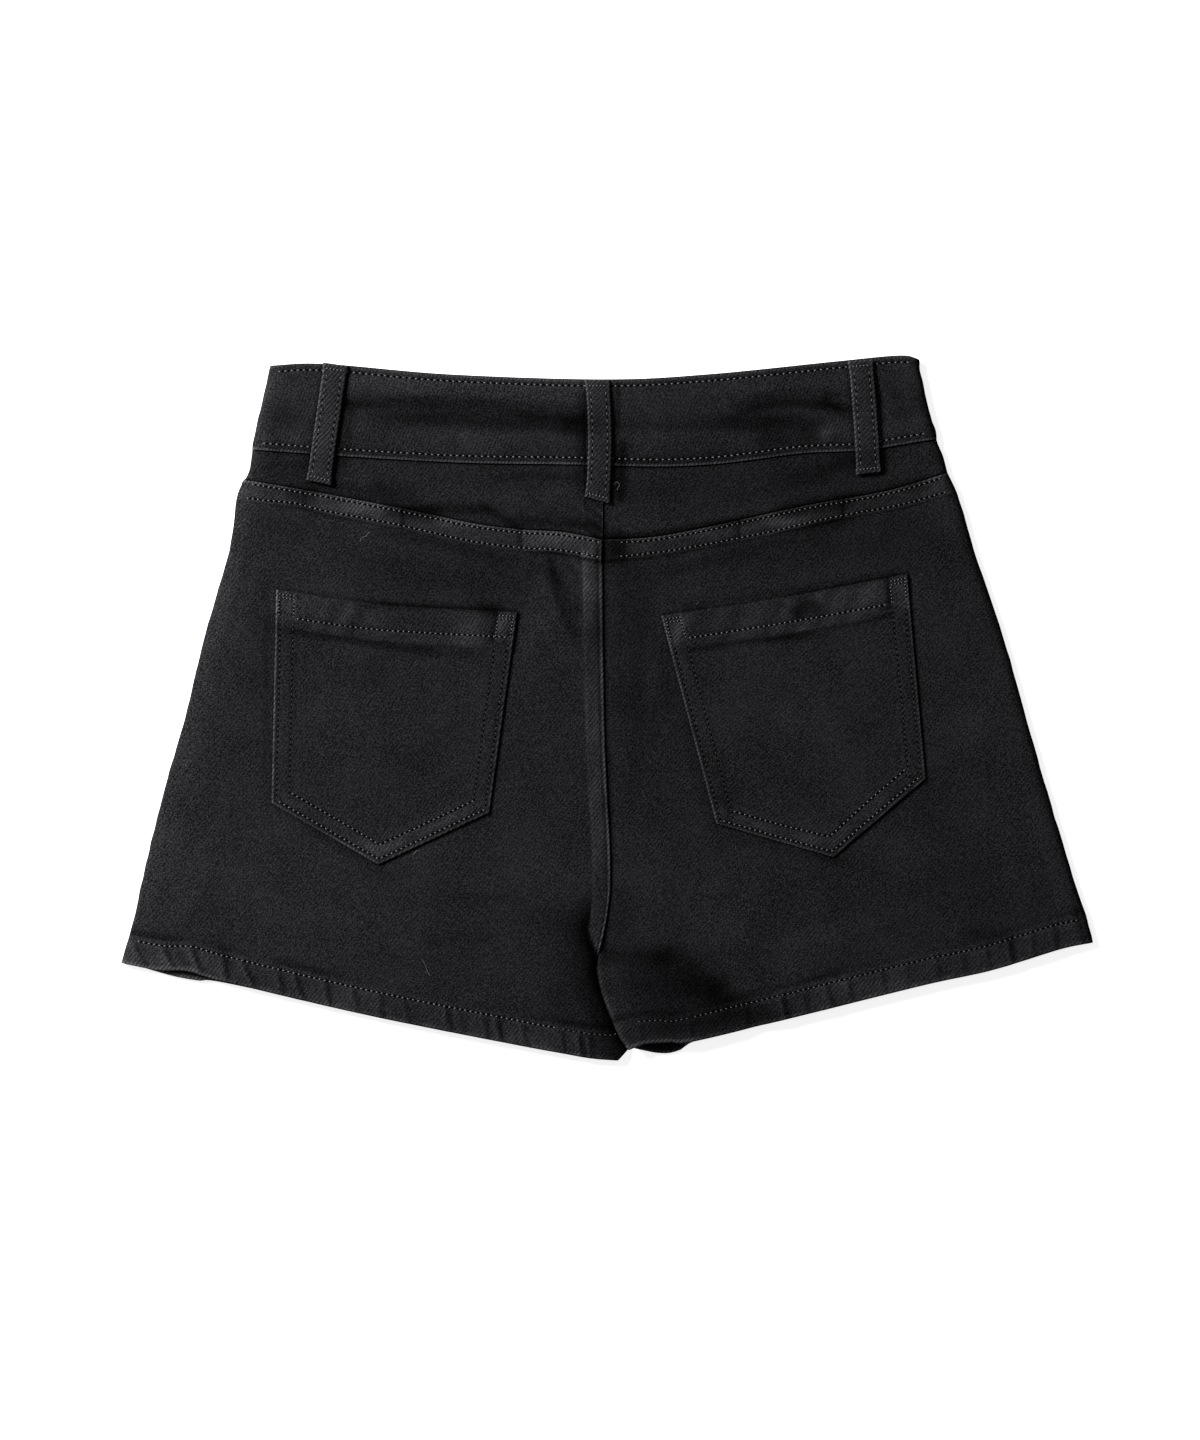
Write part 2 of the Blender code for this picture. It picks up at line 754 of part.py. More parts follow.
def make_front_panels(material):
    """The front of each leg, plain, between the side fold and the centre front."""
    skirt = skirt_outline()
    half = SEAM_GAP / 2.0
    for name, side in (("front_left", -1), ("front_right", 1)):
        left = side < 0
        inseam = FRONT_INSEAM_LEFT if left else FRONT_INSEAM_RIGHT
        inner = Line(CENTRE_FRONT, inseam).moved(side * half)
        middle = inner.at(0.0)
        foot = inner.at(1.0)
        if left:
            top = [*front_waist(0.03, 0.49, 7), middle]
            seam = [top[0], *side_seam(YOKE_LEFT, BACK_LEFT, side)[1:]]
            hem = [seam[-1], *FRONT_HEM_LEFT[:-1], foot]
            outline = Outline(Line(top), Line(hem), Line(seam), inner)
        else:
            top = [middle, *front_waist(0.55, 0.97, 7)]
            seam = [top[-1], *side_seam(YOKE_RIGHT, BACK_RIGHT, side)[1:]]
            hem = [foot, *FRONT_HEM_RIGHT[1:], seam[-1]]
            outline = Outline(Line(top), Line(hem), inner, Line(seam))
        inner_side = inner

        def face(column, row, top_face, outline=outline, side=side, inner_side=inner_side):
            share, offset, thick = row
            down = share + offset / outline.height(column[0])
            across = column[0] + column[1] / outline.width(down)
            x, y = outline.at(across, down)
            z = SKIRT_TOP * over_skirt(skirt, x, y)
            if side > 0:
                inward = min(abs(x - inner_side.x_at(y)) / CURL_WIDTH, 1.0)
                curl = 1.0 - math.sqrt(1.0 - (1.0 - inward) ** 2)
                z += curl * 3.4 * smooth((CROTCH[1] - 6.0 - y) / 10.0)
            return x, y, z + (DENIM + thick if top_face else 0.0)

        columns = [(0.0, 0.0), *spread(0.0, 0.0, 9)]
        if left:
            columns += [(1.0, 0.0)]
        else:
            columns = [(0.0, 0.0), (0.0, 2.0), (0.0, 5.0), *spread(6.0, 0.0, 9), (1.0, 0.0)]
        rows = [(0.0, 0.0, 0.0)]
        rows += [(s, o, 0.0) for s, o in spread(0.0, -40.0, 7)]
        rows += [(1.0, offset, 0.0) for offset in (-40.0, -32.0, -24.0, -HEM - STEP)]
        rows += [(1.0, -HEM, FRONT_HEM_PROUD), (1.0, 0.0, FRONT_HEM_PROUD)]
        cloth_wall(
            name,
            columns,
            rows,
            lambda column, row, face=face: face(column, row, False),
            lambda column, row, face=face: face(column, row, True),
            material,
        )


def main():
    clear_scene()
    cloth = denim("black denim", (0.021, 0.022, 0.024), 0.88)
    sewn = denim("black denim, doubled", (0.026, 0.027, 0.029), 0.85)
    make_waistband(sewn)
    make_yokes(cloth)
    make_back_panels(cloth)
    make_pockets(sewn)
    make_loops(sewn)
    make_front_panels(cloth)
    make_skirt_panel(cloth)


main()
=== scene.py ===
"""Black denim skort, laid flat on its front under soft studio light.

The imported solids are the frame. Each cloth node is replaced by a fine shell of the same cut,
with its creases, puckered seams, turned edges and stitches. Lengths are millimetres here and
become metres when a mesh is written. X runs across the garment, Y to its waist, Z up.
"""

import math

import bmesh
import bpy
import numpy as np
from bpy.props import FloatProperty, FloatVectorProperty, PointerProperty
from mathutils import Matrix, Vector


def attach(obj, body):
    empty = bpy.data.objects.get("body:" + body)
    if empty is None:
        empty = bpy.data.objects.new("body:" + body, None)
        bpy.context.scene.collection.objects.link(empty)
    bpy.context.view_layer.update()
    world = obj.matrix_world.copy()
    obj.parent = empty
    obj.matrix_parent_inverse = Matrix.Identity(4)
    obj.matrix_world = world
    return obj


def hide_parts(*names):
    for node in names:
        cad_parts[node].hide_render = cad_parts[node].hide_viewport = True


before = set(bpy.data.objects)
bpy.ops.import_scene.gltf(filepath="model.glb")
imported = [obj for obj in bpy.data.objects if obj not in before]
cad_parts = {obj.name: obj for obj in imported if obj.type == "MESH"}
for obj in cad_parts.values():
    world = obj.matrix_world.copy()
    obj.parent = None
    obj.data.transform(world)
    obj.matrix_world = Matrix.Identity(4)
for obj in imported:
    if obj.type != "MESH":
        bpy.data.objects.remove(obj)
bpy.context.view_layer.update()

bl_info = {
    "name": "Denim skort",
    "version": (1, 0, 0),
    "blender": (4, 5, 0),
    "location": "3D View > Sidebar > Denim",
    "description": "Sews a black denim skort on its packed solids and lights it for a picture",
    "category": "Object",
}

MM = 0.001

# ---------------------------------------------------------------- the cut, in millimetres

# Thickness of the cloth, and of a loop's cloth
DENIM = 1.2
LOOP_CLOTH = 1.4
# Air between pieces that meet at a seam, that lie under each other, and under a pocket
SEAM_GAP = 0.3
UNDER_GAP = 0.9
POCKET_LIFT = 0.2
# Height of the front where it lies on the skirt panel
SKIRT_TOP = 1.5
# How far an edge runs on under its neighbour, and how deep it ducks
TUCK_UNDER = 2.4
TUCK_DEPTH = 1.7
# Height of the back at its turned sides, and how far it is puffed up inside them
EDGE_TOP = 5.6
AIR = 1.8
AIR_REACH = 28.0
# The side seams lie this far inside the sides, under the garment
SIDE_SEAM_UNDER = 9.0
# Widths of the turned hem, the yoke's ridge and the felled seam
HEM = 13.5
RIDGE_WIDTH = 10.8
FELL_WIDTH = 10.0
# How far doubled cloth stands proud at the hem, at a seam and along the waist
HEM_PROUD = 0.5
SEAM_PROUD = 0.8
WAISTBAND_PROUD = 1.0
# Left of this x the left hem gapes, shown by a painted highlight along its edge
HEM_GAPE_END = -204.0
# Rows of stitches, as their distances from an edge: the waistband's top and bottom row, and the
# upper row of the yoke's ridge
WAIST_TOP_ROW = 3.7
WAIST_BOTTOM_ROW = 3.9
RIDGE_TOP_ROW = 1.7
# The pockets' turned mouth and its row of stitches, the cloth turned in round the sides and its
# two rows
POCKET_MOUTH = 20.5
POCKET_ROW = 13.6
POCKET_TURN = 10.5
POCKET_SIDE_ROWS = (2.7, 9.6)
# A pocket's bar tacks: below its top, and beside its sides
TACK_DROPS = (2.2, 4.0)
TACK_INSETS = (1.8, 9.8)
LOOP_WIDTH = 12.8
# The waistband's ends meet at this share of its width, and lie flat this far from its sides
WAIST_MEET = 0.515
WAIST_UNDER = 8.0
# Round sizes of the pieces, which set how many cells their meshes have
WAISTBAND_DEEP = 45.0
YOKE_DEEP = 42.0
LEG_SIZE = (232.0, 262.0)
POCKET_SIZE = (130.0, 125.0)
FRONT_SIZE = (235.0, 270.0)
# The cloth's area over what shows from above, with what folds under at the side
YOKE_FOLDED = 1.08
LEG_FOLDED = 1.06

# Mesh rows near an edge that runs on under its neighbour, from its hidden end inwards
TUCKED_ROWS = [-TUCK_UNDER, -1.2, -0.6, 0.0, 0.5, 1.0, 1.8, 3.0]
# Mesh columns round a side fold, in degrees from the table up
FOLD_TURNS = np.linspace(-90.0, 90.0, 15)

# Outlines: x, y
WAIST_TOP = (
    (-181.8, 184.7), (-151.5, 185.5), (-84.5, 179.8), (-1.4, 177.1), (54.3, 179.8),
    (123.4, 186.8), (158, 190.1), (168.4, 187.9),
)
WAIST_SEAM = (
    (-190.9, 139.3), (-161.7, 137), (-112.1, 133.7), (-71, 131.8), (-10.5, 130.9), (26, 129.9),
    (55.6, 131), (78, 133.5), (106, 137.1), (132.8, 138.3), (147.6, 139.9), (163.9, 142.7),
    (177.9, 144.9),
)
YOKE_SEAM_LEFT = (
    (-195.2, 123.1), (-160.7, 117.2), (-106.7, 106.9), (-71, 99.4), (-45.1, 96.2), (-25.1, 95),
    (-10, 92.4), (-1.9, 90.7),
)
YOKE_SEAM_RIGHT = (
    (-1.9, 90.7), (26, 92.3), (55.6, 97.8), (79.5, 103.1), (109.9, 109.6), (144.6, 115.7),
    (162, 120), (183.9, 126.9),
)
SIDE_LEFT = (
    (-195.2, 123.1), (-199.5, 112), (-203.3, 86.4), (-217.9, 34.6), (-227.1, -4.3),
    (-238.4, -43.2), (-248.1, -82.1), (-255.2, -114.5), (-261.6, -137.2),
)
SIDE_RIGHT = (
    (183.9, 126.9), (190.4, 112.3), (197.9, 86.4), (215.2, 34.6), (229.8, -17.3), (241.1, -56.2),
    (253, -95), (259.5, -114.5), (262.2, -126.1),
)
HEM_LEFT = (
    (-261.6, -137.2), (-242, -140.8), (-225.4, -141.4), (-206, -146.9), (-130.4, -164.7),
    (-52.1, -180.4), (-24, -185.6), (-8, -188.4), (6.4, -189.7), (11.6, -184.1),
)
HEM_RIGHT = (
    (11.4, -182.8), (15, -181.4), (20, -180.1), (32, -179.4), (45.1, -179), (100.2, -166.1),
    (169.8, -149), (207.1, -140.9), (243.8, -129.8), (262.2, -126.1),
)
CENTRE_BACK = (
    (-2.3, 130.7), (-1.9, 109.6), (-1.9, 90.7), (-2.1, 66), (-0.8, -16.5), (2.2, -82.1),
    (0.8, -109.6), (-5.4, -138.6),
)
INSEAM_LEFT = (
    (-5.4, -138.6), (-4.8, -145), (0, -153), (5.5, -161), (9, -169), (11.6, -184.1),
)
INSEAM_RIGHT = (
    (-5.4, -138.6), (-4.2, -147), (-1.9, -155), (2.4, -166.4), (6.6, -175.6), (11.4, -182.8),
)
CROTCH = CENTRE_BACK[-1]
YOKE_SIDE_LEFT = (WAIST_SEAM[0], (-193.2, 126), YOKE_SEAM_LEFT[0])
YOKE_SIDE_RIGHT = (WAIST_SEAM[-1], (182.2, 133), YOKE_SEAM_RIGHT[-1])
CENTRE_FRONT = ((0, 127.6), (0, 0), (-4, -110), (-4.9, -137))
FRONT_INSEAM_LEFT = ((-4.9, -137), (-4.8, -146), (5, -162), (11, -182.5))
FRONT_INSEAM_RIGHT = ((-4.6, -137), (1.6, -151), (9.2, -164), (13.4, -182.5))
FRONT_HEM_LEFT = (
    (-234, -144.2), (-219.5, -146.8), (-206, -147.9), (-130.4, -164), (-52.1, -179.4),
)
FRONT_HEM_RIGHT = ((17, -183.8), (29, -186), (39, -184.6), (60, -175.5), (169.8, -148.4))
# How far the front of the waist lies below its back
FRONT_WAIST_DROP = 4.0
# The skirt panel's hem, and the share of the side seams at which it meets them
SKIRT_HEM_CENTRE = (0, -166)
SKIRT_SEAM_SHARE = 0.98
# This far below that hem the fronts start to sink to the table, over this length
SKIRT_CLEAR = 8.0
SKIRT_RAMP = 9.0

# Belt loops: x and y of the middle of the top end, then of the bottom end, how far the middle
# sways to the right, and the slant of the bottom end
LOOPS = {
    "loop_left": ((-145.5, 185), (-154.7, 121.4), 0, -0.08),
    "loop_centre": ((-5, 176.3), (-5, 111.9), 1.5, -0.3),
    "loop_right": ((136.4, 187), (140.8, 126.4), 0.4, 0.05),
}
LOOP_FLARE = 0.8
# Down a loop: share of its length, lift over what it lies on
LOOP_RUN = (
    (0, 0), (0.06, 0.1), (0.16, 0.3), (0.32, 0.6), (0.5, 0.7), (0.66, 0.6), (0.8, 0.4),
    (0.93, 0.1), (1, 0),
)
POCKETS = {
    "pocket_left": {
        "mouth": ((-177.6, 64), (-120.7, 55.9), (-48, 51.7)),
        "left": ((-177.6, 64), (-180.1, -51)),
        "right": ((-48, 51.7), (-63, -56)),
        "point": (-122.6, -84),
    },
    "pocket_right": {
        "mouth": ((29.4, 49.8), (95.5, 59.8), (161.7, 72.4)),
        "left": ((29.4, 49.8), (59.1, -62)),
        "right": ((161.7, 72.4), (171.6, -37.8)),
        "point": (121.9, -80),
    },
}

# Main folds: middle x, y, slant, length, half width, height, and how far the ends bow up where
# they do
FOLDS = (
    (40, -122, -9, 95, 17, 1.7),
    (-95, -100, -28, 90, 12, 0.5, 4),
    (150, -95, 24, 80, 12, 0.5, 4),
    (-205, 0, 74, 110, 12, 0.5, 3),
    (205, 10, -74, 100, 12, 0.5, 3),
    (18, -138, -5, 44, 7, -2.4),
    (48, -145, -32, 46, 7, -2.4),
    (72, -162, -45, 36, 6, -2),
    (92, -148, 20, 46, 9, 0.7),
)
# Creases of the waistband, with the same columns
WAIST_CREASES = (
    (-111, 164.6, 2, 62, 3, -1.5, 1),
    (-84, 162.8, -3, 60, 2.6, -0.9),
    (-52, 156.4, -5, 76, 3.4, -1.6, -1),
    (-24, 152.6, -7, 40, 3.6, -1.6),
    (-60, 147, -3, 104, 4.6, 0.7),
    (-30, 167, -2, 60, 5, 0.5),
    (-120, 148, -2, 44, 5, 0.5),
    (-168, 163, -12, 26, 4, -0.9),
    (-172, 150, -8, 24, 4, -0.6),
    (103, 167.4, 3, 64, 3, -1.5, -3.6),
    (126, 163, -24, 18, 3, -1.3),
    (80, 153.6, 1, 60, 3.2, -1.2, 1),
    (97, 153.8, 4, 24, 3, -0.8),
    (38, 153.2, -1, 66, 3.4, -0.8),
    (60, 146, 2, 84, 4.6, 0.6),
    (56, 168, 2, 70, 5, 0.5),
    (121, 149, 80, 12, 3.4, 0.8),
    (152, 166, 10, 22, 3.6, -0.8),
    (160, 155, -6, 26, 3.6, -0.7),
)
# Creases of the yoke and the legs, with the same columns
CREASES = (
    (-78, 107.6, -3, 46, 2, -1.1, -2),
    (-54, 102.2, -27, 30, 2, -1.2),
    (-64, 113, -6, 52, 3, 0.7, -2),
    (-36, 124.2, -3, 24, 2.6, -1.1),
    (-33, 118, 8, 18, 2.4, -0.7),
    (-20, 104, -4, 22, 2.6, -0.8),
    (-132, 117.6, -10, 46, 3.4, -0.8),
    (-166, 128, -10, 30, 4, -0.5),
    (-92, 124, -6, 60, 6, 0.4),
    (96, 116, 16, 60, 4.6, -0.5, 3),
    (46, 110, 8, 50, 5, 0.4),
    (150, 130, 14, 30, 4, -0.5),
    (70, 90.5, 15, 64, 2.6, -0.8),
    (112, 95.5, 9, 56, 3, -0.8, 2),
    (98, 86, 12, 90, 5, 0.5),
    (-100, 90, -10, 60, 3.4, -0.6),
    (-62, 80.5, -13, 34, 3, -0.6),
    (-28, 70, -62, 40, 2.8, 0.9, 2),
    (-22.6, 57, -72, 46, 3.2, -1.5, 2),
    (-31, 43, -67, 46, 3, 0.9, 2),
    (-36, 60, -78, 34, 3.6, -0.8),
    (-17.5, 76, -58, 22, 2.4, -1),
    (-24, 26, -58, 40, 3.4, -0.8),
    (-22, 4, -54, 44, 4, 0.6, 3),
    (-40, -38, -30, 48, 5, -0.5, 3),
    (-24, -62, -62, 44, 4.6, -0.6),
    (-60, -112, -20, 70, 6, -0.6, 3),
    (-110, -118, -32, 60, 6, 0.6),
    (-150, -104, -14, 54, 6, -0.5, 3),
    (-84, -138, -16, 60, 5, 0.6),
    (-88, -124, -12, 20, 2.4, -0.7),
    (-170, -126, -10, 50, 5, -0.5),
    (-214, -60, 70, 60, 6, -0.6, 2),
    (-196, 60, 76, 40, 4, -0.6),
    (-222, -104, 64, 44, 5, 0.6),
    (21, 32, 86, 60, 5, -0.7, -1),
    (30, 34, 84, 66, 4.6, 0.5),
    (17, -44, 84, 60, 5, -0.4),
    (40, -96, -16, 44, 5, 0.6, 2),
    (112, -118, 18, 60, 6, -0.6, 3),
    (150, -116, 22, 60, 6, 0.5),
    (200, -92, 10, 50, 6, -0.5, 2),
    (212, -40, -72, 50, 5, -0.6, 2),
    (200, 62, -72, 40, 4, -0.5),
    (222, -90, -66, 40, 5, 0.5),
    (-118, 14, -70, 60, 7, -0.35, 3),
    (-140, -22, -56, 50, 6, 0.35),
    (-86, -26, 62, 46, 6, -0.35, 2),
    (96, 8, 74, 60, 7, -0.35, 3),
    (132, -20, -66, 50, 6, 0.35),
    (84, -44, 20, 40, 6, -0.35, 2),
)
# Painted shade in folds, beside seams and loops and where the legs cross, and painted light where
# the shade is below nothing: the same columns, with the shade in place of the height
PAINTED_SHADES = (
    # waistband, left of the middle
    (-114, 163.5, 0, 62, 2.5, 0.5),
    (-76, 165, 0, 51, 2, 0.25),
    (-68, 154, -3, 119, 4.5, 0.65),
    (-63, 167.5, -3, 113, 2.5, -0.3),
    (-129, 163, 0, 32, 2.5, 0.35),
    (-187, 151, 80, 23, 5, -0.25),
    (-191, 139.5, 90, 62, 7.5, -0.2),
    (-58, 159.5, -3, 96, 6.5, 0.2),
    (-13, 152.5, -4, 25, 6.5, 0.85),
    (-171, 157, -3, 43, 6.5, 0.35),
    (-188, 155.5, 80, 51, 5, -0.3),
    (-79, 175, -2, 147, 5.5, -0.4),
    (-179, 158, -4, 28, 8.5, 0.3),
    # waistband, right
    (101, 164.5, 1, 62, 3, 1.1, -5),
    (122, 163, -20, 17, 3, 0.4),
    (45, 151.5, -1, 85, 2.5, 0.45),
    (91, 153.5, -1, 62, 4, 0.7),
    (96, 149, 0, 34, 5.5, 0.4),
    (104, 144, 5, 51, 3, 0.3),
    (161, 166.5, -6, 28, 8.5, 0.3),
    (165, 144.5, -72, 51, 6.5, 0.2),
    (149, 158, 88, 28, 4, -0.4),
    (104, 174.5, 4, 85, 4.5, -0.2),
    # painted shadow beside and below the loops
    (-140, 144.5, 82, 40, 3, 0.6),
    (-13, 142, 90, 57, 3, 0.7),
    (6, 162, 90, 34, 1.5, 0.7),
    (8, 127.5, 88, 32, 3, 1.3),
    (-159, 124, 88, 34, 2.5, 0.4),
    (-163, 116.5, 0, 19, 4.5, 0.7),
    (-177, 129.5, -10, 34, 11, 0.55),
    (134, 134, 0, 25, 4, 0.5),
    (-162, 139.5, 82, 28, 4, 0.4),
    # along the top of the yoke's ridge
    (-136, 116, -10, 45, 4, 0.5),
    (-114, 116.5, -12, 28, 5, 0.5),
    (-105, 105.5, -10, 32, 5, 0.9),
    (-74, 103.5, -6, 74, 4, 0.3),
    (-86, 106.5, 0, 45, 2, 0.75),
    (-56, 102.5, -28, 25, 2, 0.8),
    (-24, 100.5, -6, 45, 3, 0.85),
    (-33, 95, -6, 57, 6.5, 0.2),
    (50, 92.5, 10, 45, 4, 0.25),
    (45, 97, 8, 85, 2.5, 0.85),
    (140, 99, 5, 62, 9.5, 0.2),
    (57, 78.5, 12, 57, 3, 0.35),
    (83, 102.5, 10, 51, 2.5, 0.4),
    (111, 108.5, 10, 43, 4.5, 0.95),
    (148, 88, 5, 85, 16, 0.13),
    (148, 116.5, 9, 51, 4.5, 0.8),
    (2, 87.5, 2, 19, 8, 1.4),
    (-33, 102.5, -10, 23, 2.5, -0.4),
    (-36, 124, 0, 45, 2.5, 0.35),
    (77, 123, 4, 147, 12, 0.33),
    (126, 129.5, 20, 74, 8, 0.25),
    (56, 135, 3, 102, 3, 0.3),
    (-74, 128.5, -3, 130, 8.5, 0.15),
    # below the ridge
    (-174, 99, -10, 34, 8.5, 0.25),
    (-85, 87, -13, 74, 3, 0.45),
    (-85, 72, -5, 113, 13, 0.25),
    (84, 87, 9, 74, 3, 0.35),
    (104, 93.5, 10, 79, 3, 0.3),
    (115, 82, 8, 102, 7.5, 0.15),
    (-24, 65, -60, 36, 4.5, 0.25),
    (-33, 73.5, -48, 25, 3, 0.15),
    (-21, 54, -70, 43, 4, 0.4),
    (-39, 47.5, 74, 51, 7, -0.22),
    (-19, 82, -6, 23, 3, -0.3),
    (-5, 81, 84, 19, 4.5, -0.5),
    # beside the seat seam
    (-6, 47.5, 88, 74, 4.5, 0.55),
    (8, 58.5, 88, 62, 7.5, 0.22),
    (18, 36.5, 86, 108, 15, 0.3),
    (8, -110, 88, 34, 6.5, 0.3),
    (23, -28, 88, 68, 16, 0.15),
    (0, -55, 88, 62, 2.5, 0.35),
    (18, 96, 10, 23, 5.5, -0.2),
    # at the pockets
    (-90, 54.5, -2, 85, 2.5, 0.4),
    (-62, 52.5, 0, 14, 5, 0.4),
    (-116, 56.5, -6, 40, 2, 0.15),
    (129, 68, 10, 68, 3, 0.35),
    (83, 61, 9, 62, 2, 0.3),
    (153, 59.5, 88, 25, 3, 0.3),
    (47, 55, 5, 14, 3, 0.5),
    (-137, 36.5, -8, 85, 2, 0.6),
    (-85, 29.5, -3, 40, 2, 0.4),
    (83, 36.5, 5, 74, 2, 0.4),
    (-183, 4.5, 90, 113, 2, 0.3),
    (41, -6.5, -72, 130, 5.5, 0.25),
    (-141, -76.5, -30, 57, 2.5, 0.35),
    (99, -76.5, -12, 68, 2.5, 0.3),
    (-95, -63.5, 25, 54, 7, -0.22),
    (154, -44.5, 40, 54, 5, -0.22),
    (126, -70, 10, 34, 6.5, 0.1),
    (-170, 56.5, -8, 28, 6.5, -0.35),
    (-141, 43, -5, 11, 3, 0.3),
    (-103, 46.5, -4, 34, 4.5, 0.25),
    (-63, 45, 88, 23, 4, 0.5),
    (-120, 23, 80, 28, 11, 0.18),
    (-53, 43, 85, 25, 4, -0.12),
    (-147, -14.5, -80, 51, 14, -0.12),
    (-25, 42, 80, 45, 7.5, -0.1),
    (107, 53, 30, 16, 5, 1),
    (131, 48.5, 8, 34, 4.5, 0.25),
    # painted light on the legs, with some painted shade
    (-198, -103.5, -12, 187, 38, -0.15),
    (-31, -93, 0, 102, 30, -0.08),
    (210, -49.5, -75, 125, 12, -0.18),
    (83, -120, -20, 85, 21.5, -0.13),
    (-47, -112, -10, 51, 12, 0.1),
    (-63, -152.5, 5, 51, 9.5, -0.12),
    (26, -112, 0, 40, 8.5, 0.12),
    (-186, 36.5, 84, 74, 7.5, 0.14),
    (-217, 4.5, 80, 238, 15, -0.2),
    (199, 63.5, -72, 68, 9.5, 0.16),
    (212, -101, -10, 51, 14, 0.15),
    # where the legs cross
    (21, -132.5, -3, 62, 5.5, 0.16),
    (50, -146.5, -38, 49, 7, 0.45),
    (26, -144.5, -8, 68, 11, 0.45),
    (22, -169.5, -3, 34, 7.5, 0.3),
    (45, -149.5, -30, 62, 8.5, 0.22),
    (65, -156, -20, 27, 6, 0.35),
    (50, -169.5, 8, 95, 7, 0.75),
    (8, -155.5, -66, 45, 5.5, -0.35),
    (75, -159, -14, 28, 7.5, 0.12),
    (5, -168.5, -66, 36, 4, -0.3),
    (-5, -130.5, 80, 9, 2, -0.6),
    (29, -153.5, -14, 74, 13, 0.3),
    # small spots of painted shade
    (207, -123, -10, 32, 5.5, 0.4),
    (-93, -125.5, 4, 10, 2.5, 0.4),
    (-63, -102, -2, 37, 2.5, 0.25),
    (-229, -133.5, -50, 15, 3, 0.45),
    (-205, -134, -60, 16, 3, 0.5),
    (-25, -163, -70, 34, 7.5, 0.2),
)
# Slanted tucks that the hems gather along their stitches: x, depth, run to the right
HEM_TUCKS = (
    (-254.6, 0.8, 7), (-238.4, 1, 6), (-223.3, 1.1, 6), (-206.2, 1, 2), (-195.2, 1.2, 6.5),
    (-177, 1, 3), (-167.6, 1.1, 4.6), (-151.4, 1, 2.6), (-136.4, 0.8, 3), (-122.3, 0.6, 1.6),
    (-108.8, 0.5, 2), (-86.7, 1.1, 3), (-79.4, 0.4, 2), (-66.3, 0.8, 2), (-59.1, 1.1, 2.2),
    (-45.1, 0.5, 1.6), (-24.6, 0.5, 1.6), (-14.9, 1.1, 2), (-9.5, 0.8, 2), (18, 0.2, 1),
    (45, 0.3, 1), (74.8, 0.5, 1), (94.4, 1.1, 2.6), (106, 0.5, 2), (118, 0.7, 4), (129.9, 0.5, 2),
    (147.7, 0.4, 1.6), (161.2, 0.3, 1.4), (177.4, 0.4, 1.4), (191.3, 0.5, 1.4), (204.4, 0.4, 1.4),
    (216.3, 1.1, 2.4), (228.7, 0.5, 1.4), (240.6, 0.5, 1.4),
)
# Breaks across the yoke's ridge: x, how far the ridge beyond each stands up
RIDGE_BREAKS = (
    (-200, 0), (-161.2, 0.35), (-108.8, -0.1), (-45.4, 0.55), (-1, 0.1), (72, 0.25), (128, 0),
)

# How far below the yoke's seam its lower row of stitches runs: x, distance
RIDGE_ROW = (
    (-200, 9.8), (-182, 9.4), (-165, 7.9), (-150, 9.2), (-112, 9), (-85, 9.4), (-45, 9.7),
    (0, 9.6), (24, 8.4), (60, 9.2), (90, 9.8), (135, 8.6), (165, 9.4), (184, 9.7),
)

# Where the legs part: the dip beside the seat seam, the lift of the right leg, how far the free
# edges of the left and of the right leg roll down, and the curl of the right front's inseam
VALLEY_DEPTH = 2.1
VALLEY_REACH = 15.0
VALLEY_START = -80.0
VALLEY_LENGTH = 55.0
RIGHT_LEG_LIFT = 2.9
LIFT_REACH = 72.0
LEG_EDGE_DROP = 3.0
LEG_EDGE_ROLL = 10.0
RIGHT_EDGE_DROP = 1.6
RIGHT_EDGE_ROLL = 5.0
CURL_WIDTH = 7.0
CURL_RISE = 3.4

# Cloth rubbed lighter: middle x, y, reach across, reach up, amount
RUBBED = (
    (-26.7, 92.4, 15, 3.6, 0.45),
    (-3.5, 88, 5, 4, 0.5),
    (-87.2, 100.4, 20, 3.4, 0.3),
    (-130.4, 108.4, 16, 3.6, 0.4),
    (50, 95.5, 20, 3.4, 0.25),
    (93, 101.6, 14, 3.6, 0.55),
    (150, 116.4, 26, 3.6, 0.3),
    (-243, -140.4, 20, 1.6, 1),
    (-235, -138, 26, 8, 0.35),
    (-150, -158, 24, 6, 0.2),
    (-50, -178, 34, 6, 0.2),
    (22, -174, 12, 6, 0.3),
    (150, -150, 40, 6, 0.2),
    (-56, 46, 7, 9, 0.12),
    (36, 42, 6, 8, 0.15),
    (160, 62, 6, 10, 0.3),
    (-124, -76, 26, 7, 0.2),
    (122, -70, 26, 7, 0.2),
    (-160, 150, 24, 26, 0.2),
    (121, 149, 8, 6, 0.35),
    (-60, 146, 60, 5, 0.2),
    (-7, 40, 3, 24, 0.2),
    (-6, -8, 3, 12, 0.3),
)

# How each group of rows is sewn: its thread's thickness as a share of the full one, how light the
# thread is painted for the light and shade on its rows, and half the width of a hole's painted
# shadow in mm
SEWN = {
    "waistband": (1.0, 0.56, 0.75),
    "yoke_left": (1.0, 0.6, 0.75),
    "yoke_right": (1.0, 0.46, 0.75),
    "hem_left": (0.9, 0.75, 0.75),
    "hem_right": (0.9, 0.38, 0.75),
    "hem_middle": (0.8, 0.3, 0.5),
    "pocket_mouth": (1.0, 0.56, 0.75),
    "pocket_side": (0.7, 0.12, 0.5),
    "pocket_foot": (0.9, 0.6, 0.65),
    "pocket_tack": (0.6, 0.85, 0.4),
    "loop": (0.75, 0.36, 0.5),
    "loop_tack": (0.7, 1.0, 0.3),
}
TACK_PITCH = 1.9
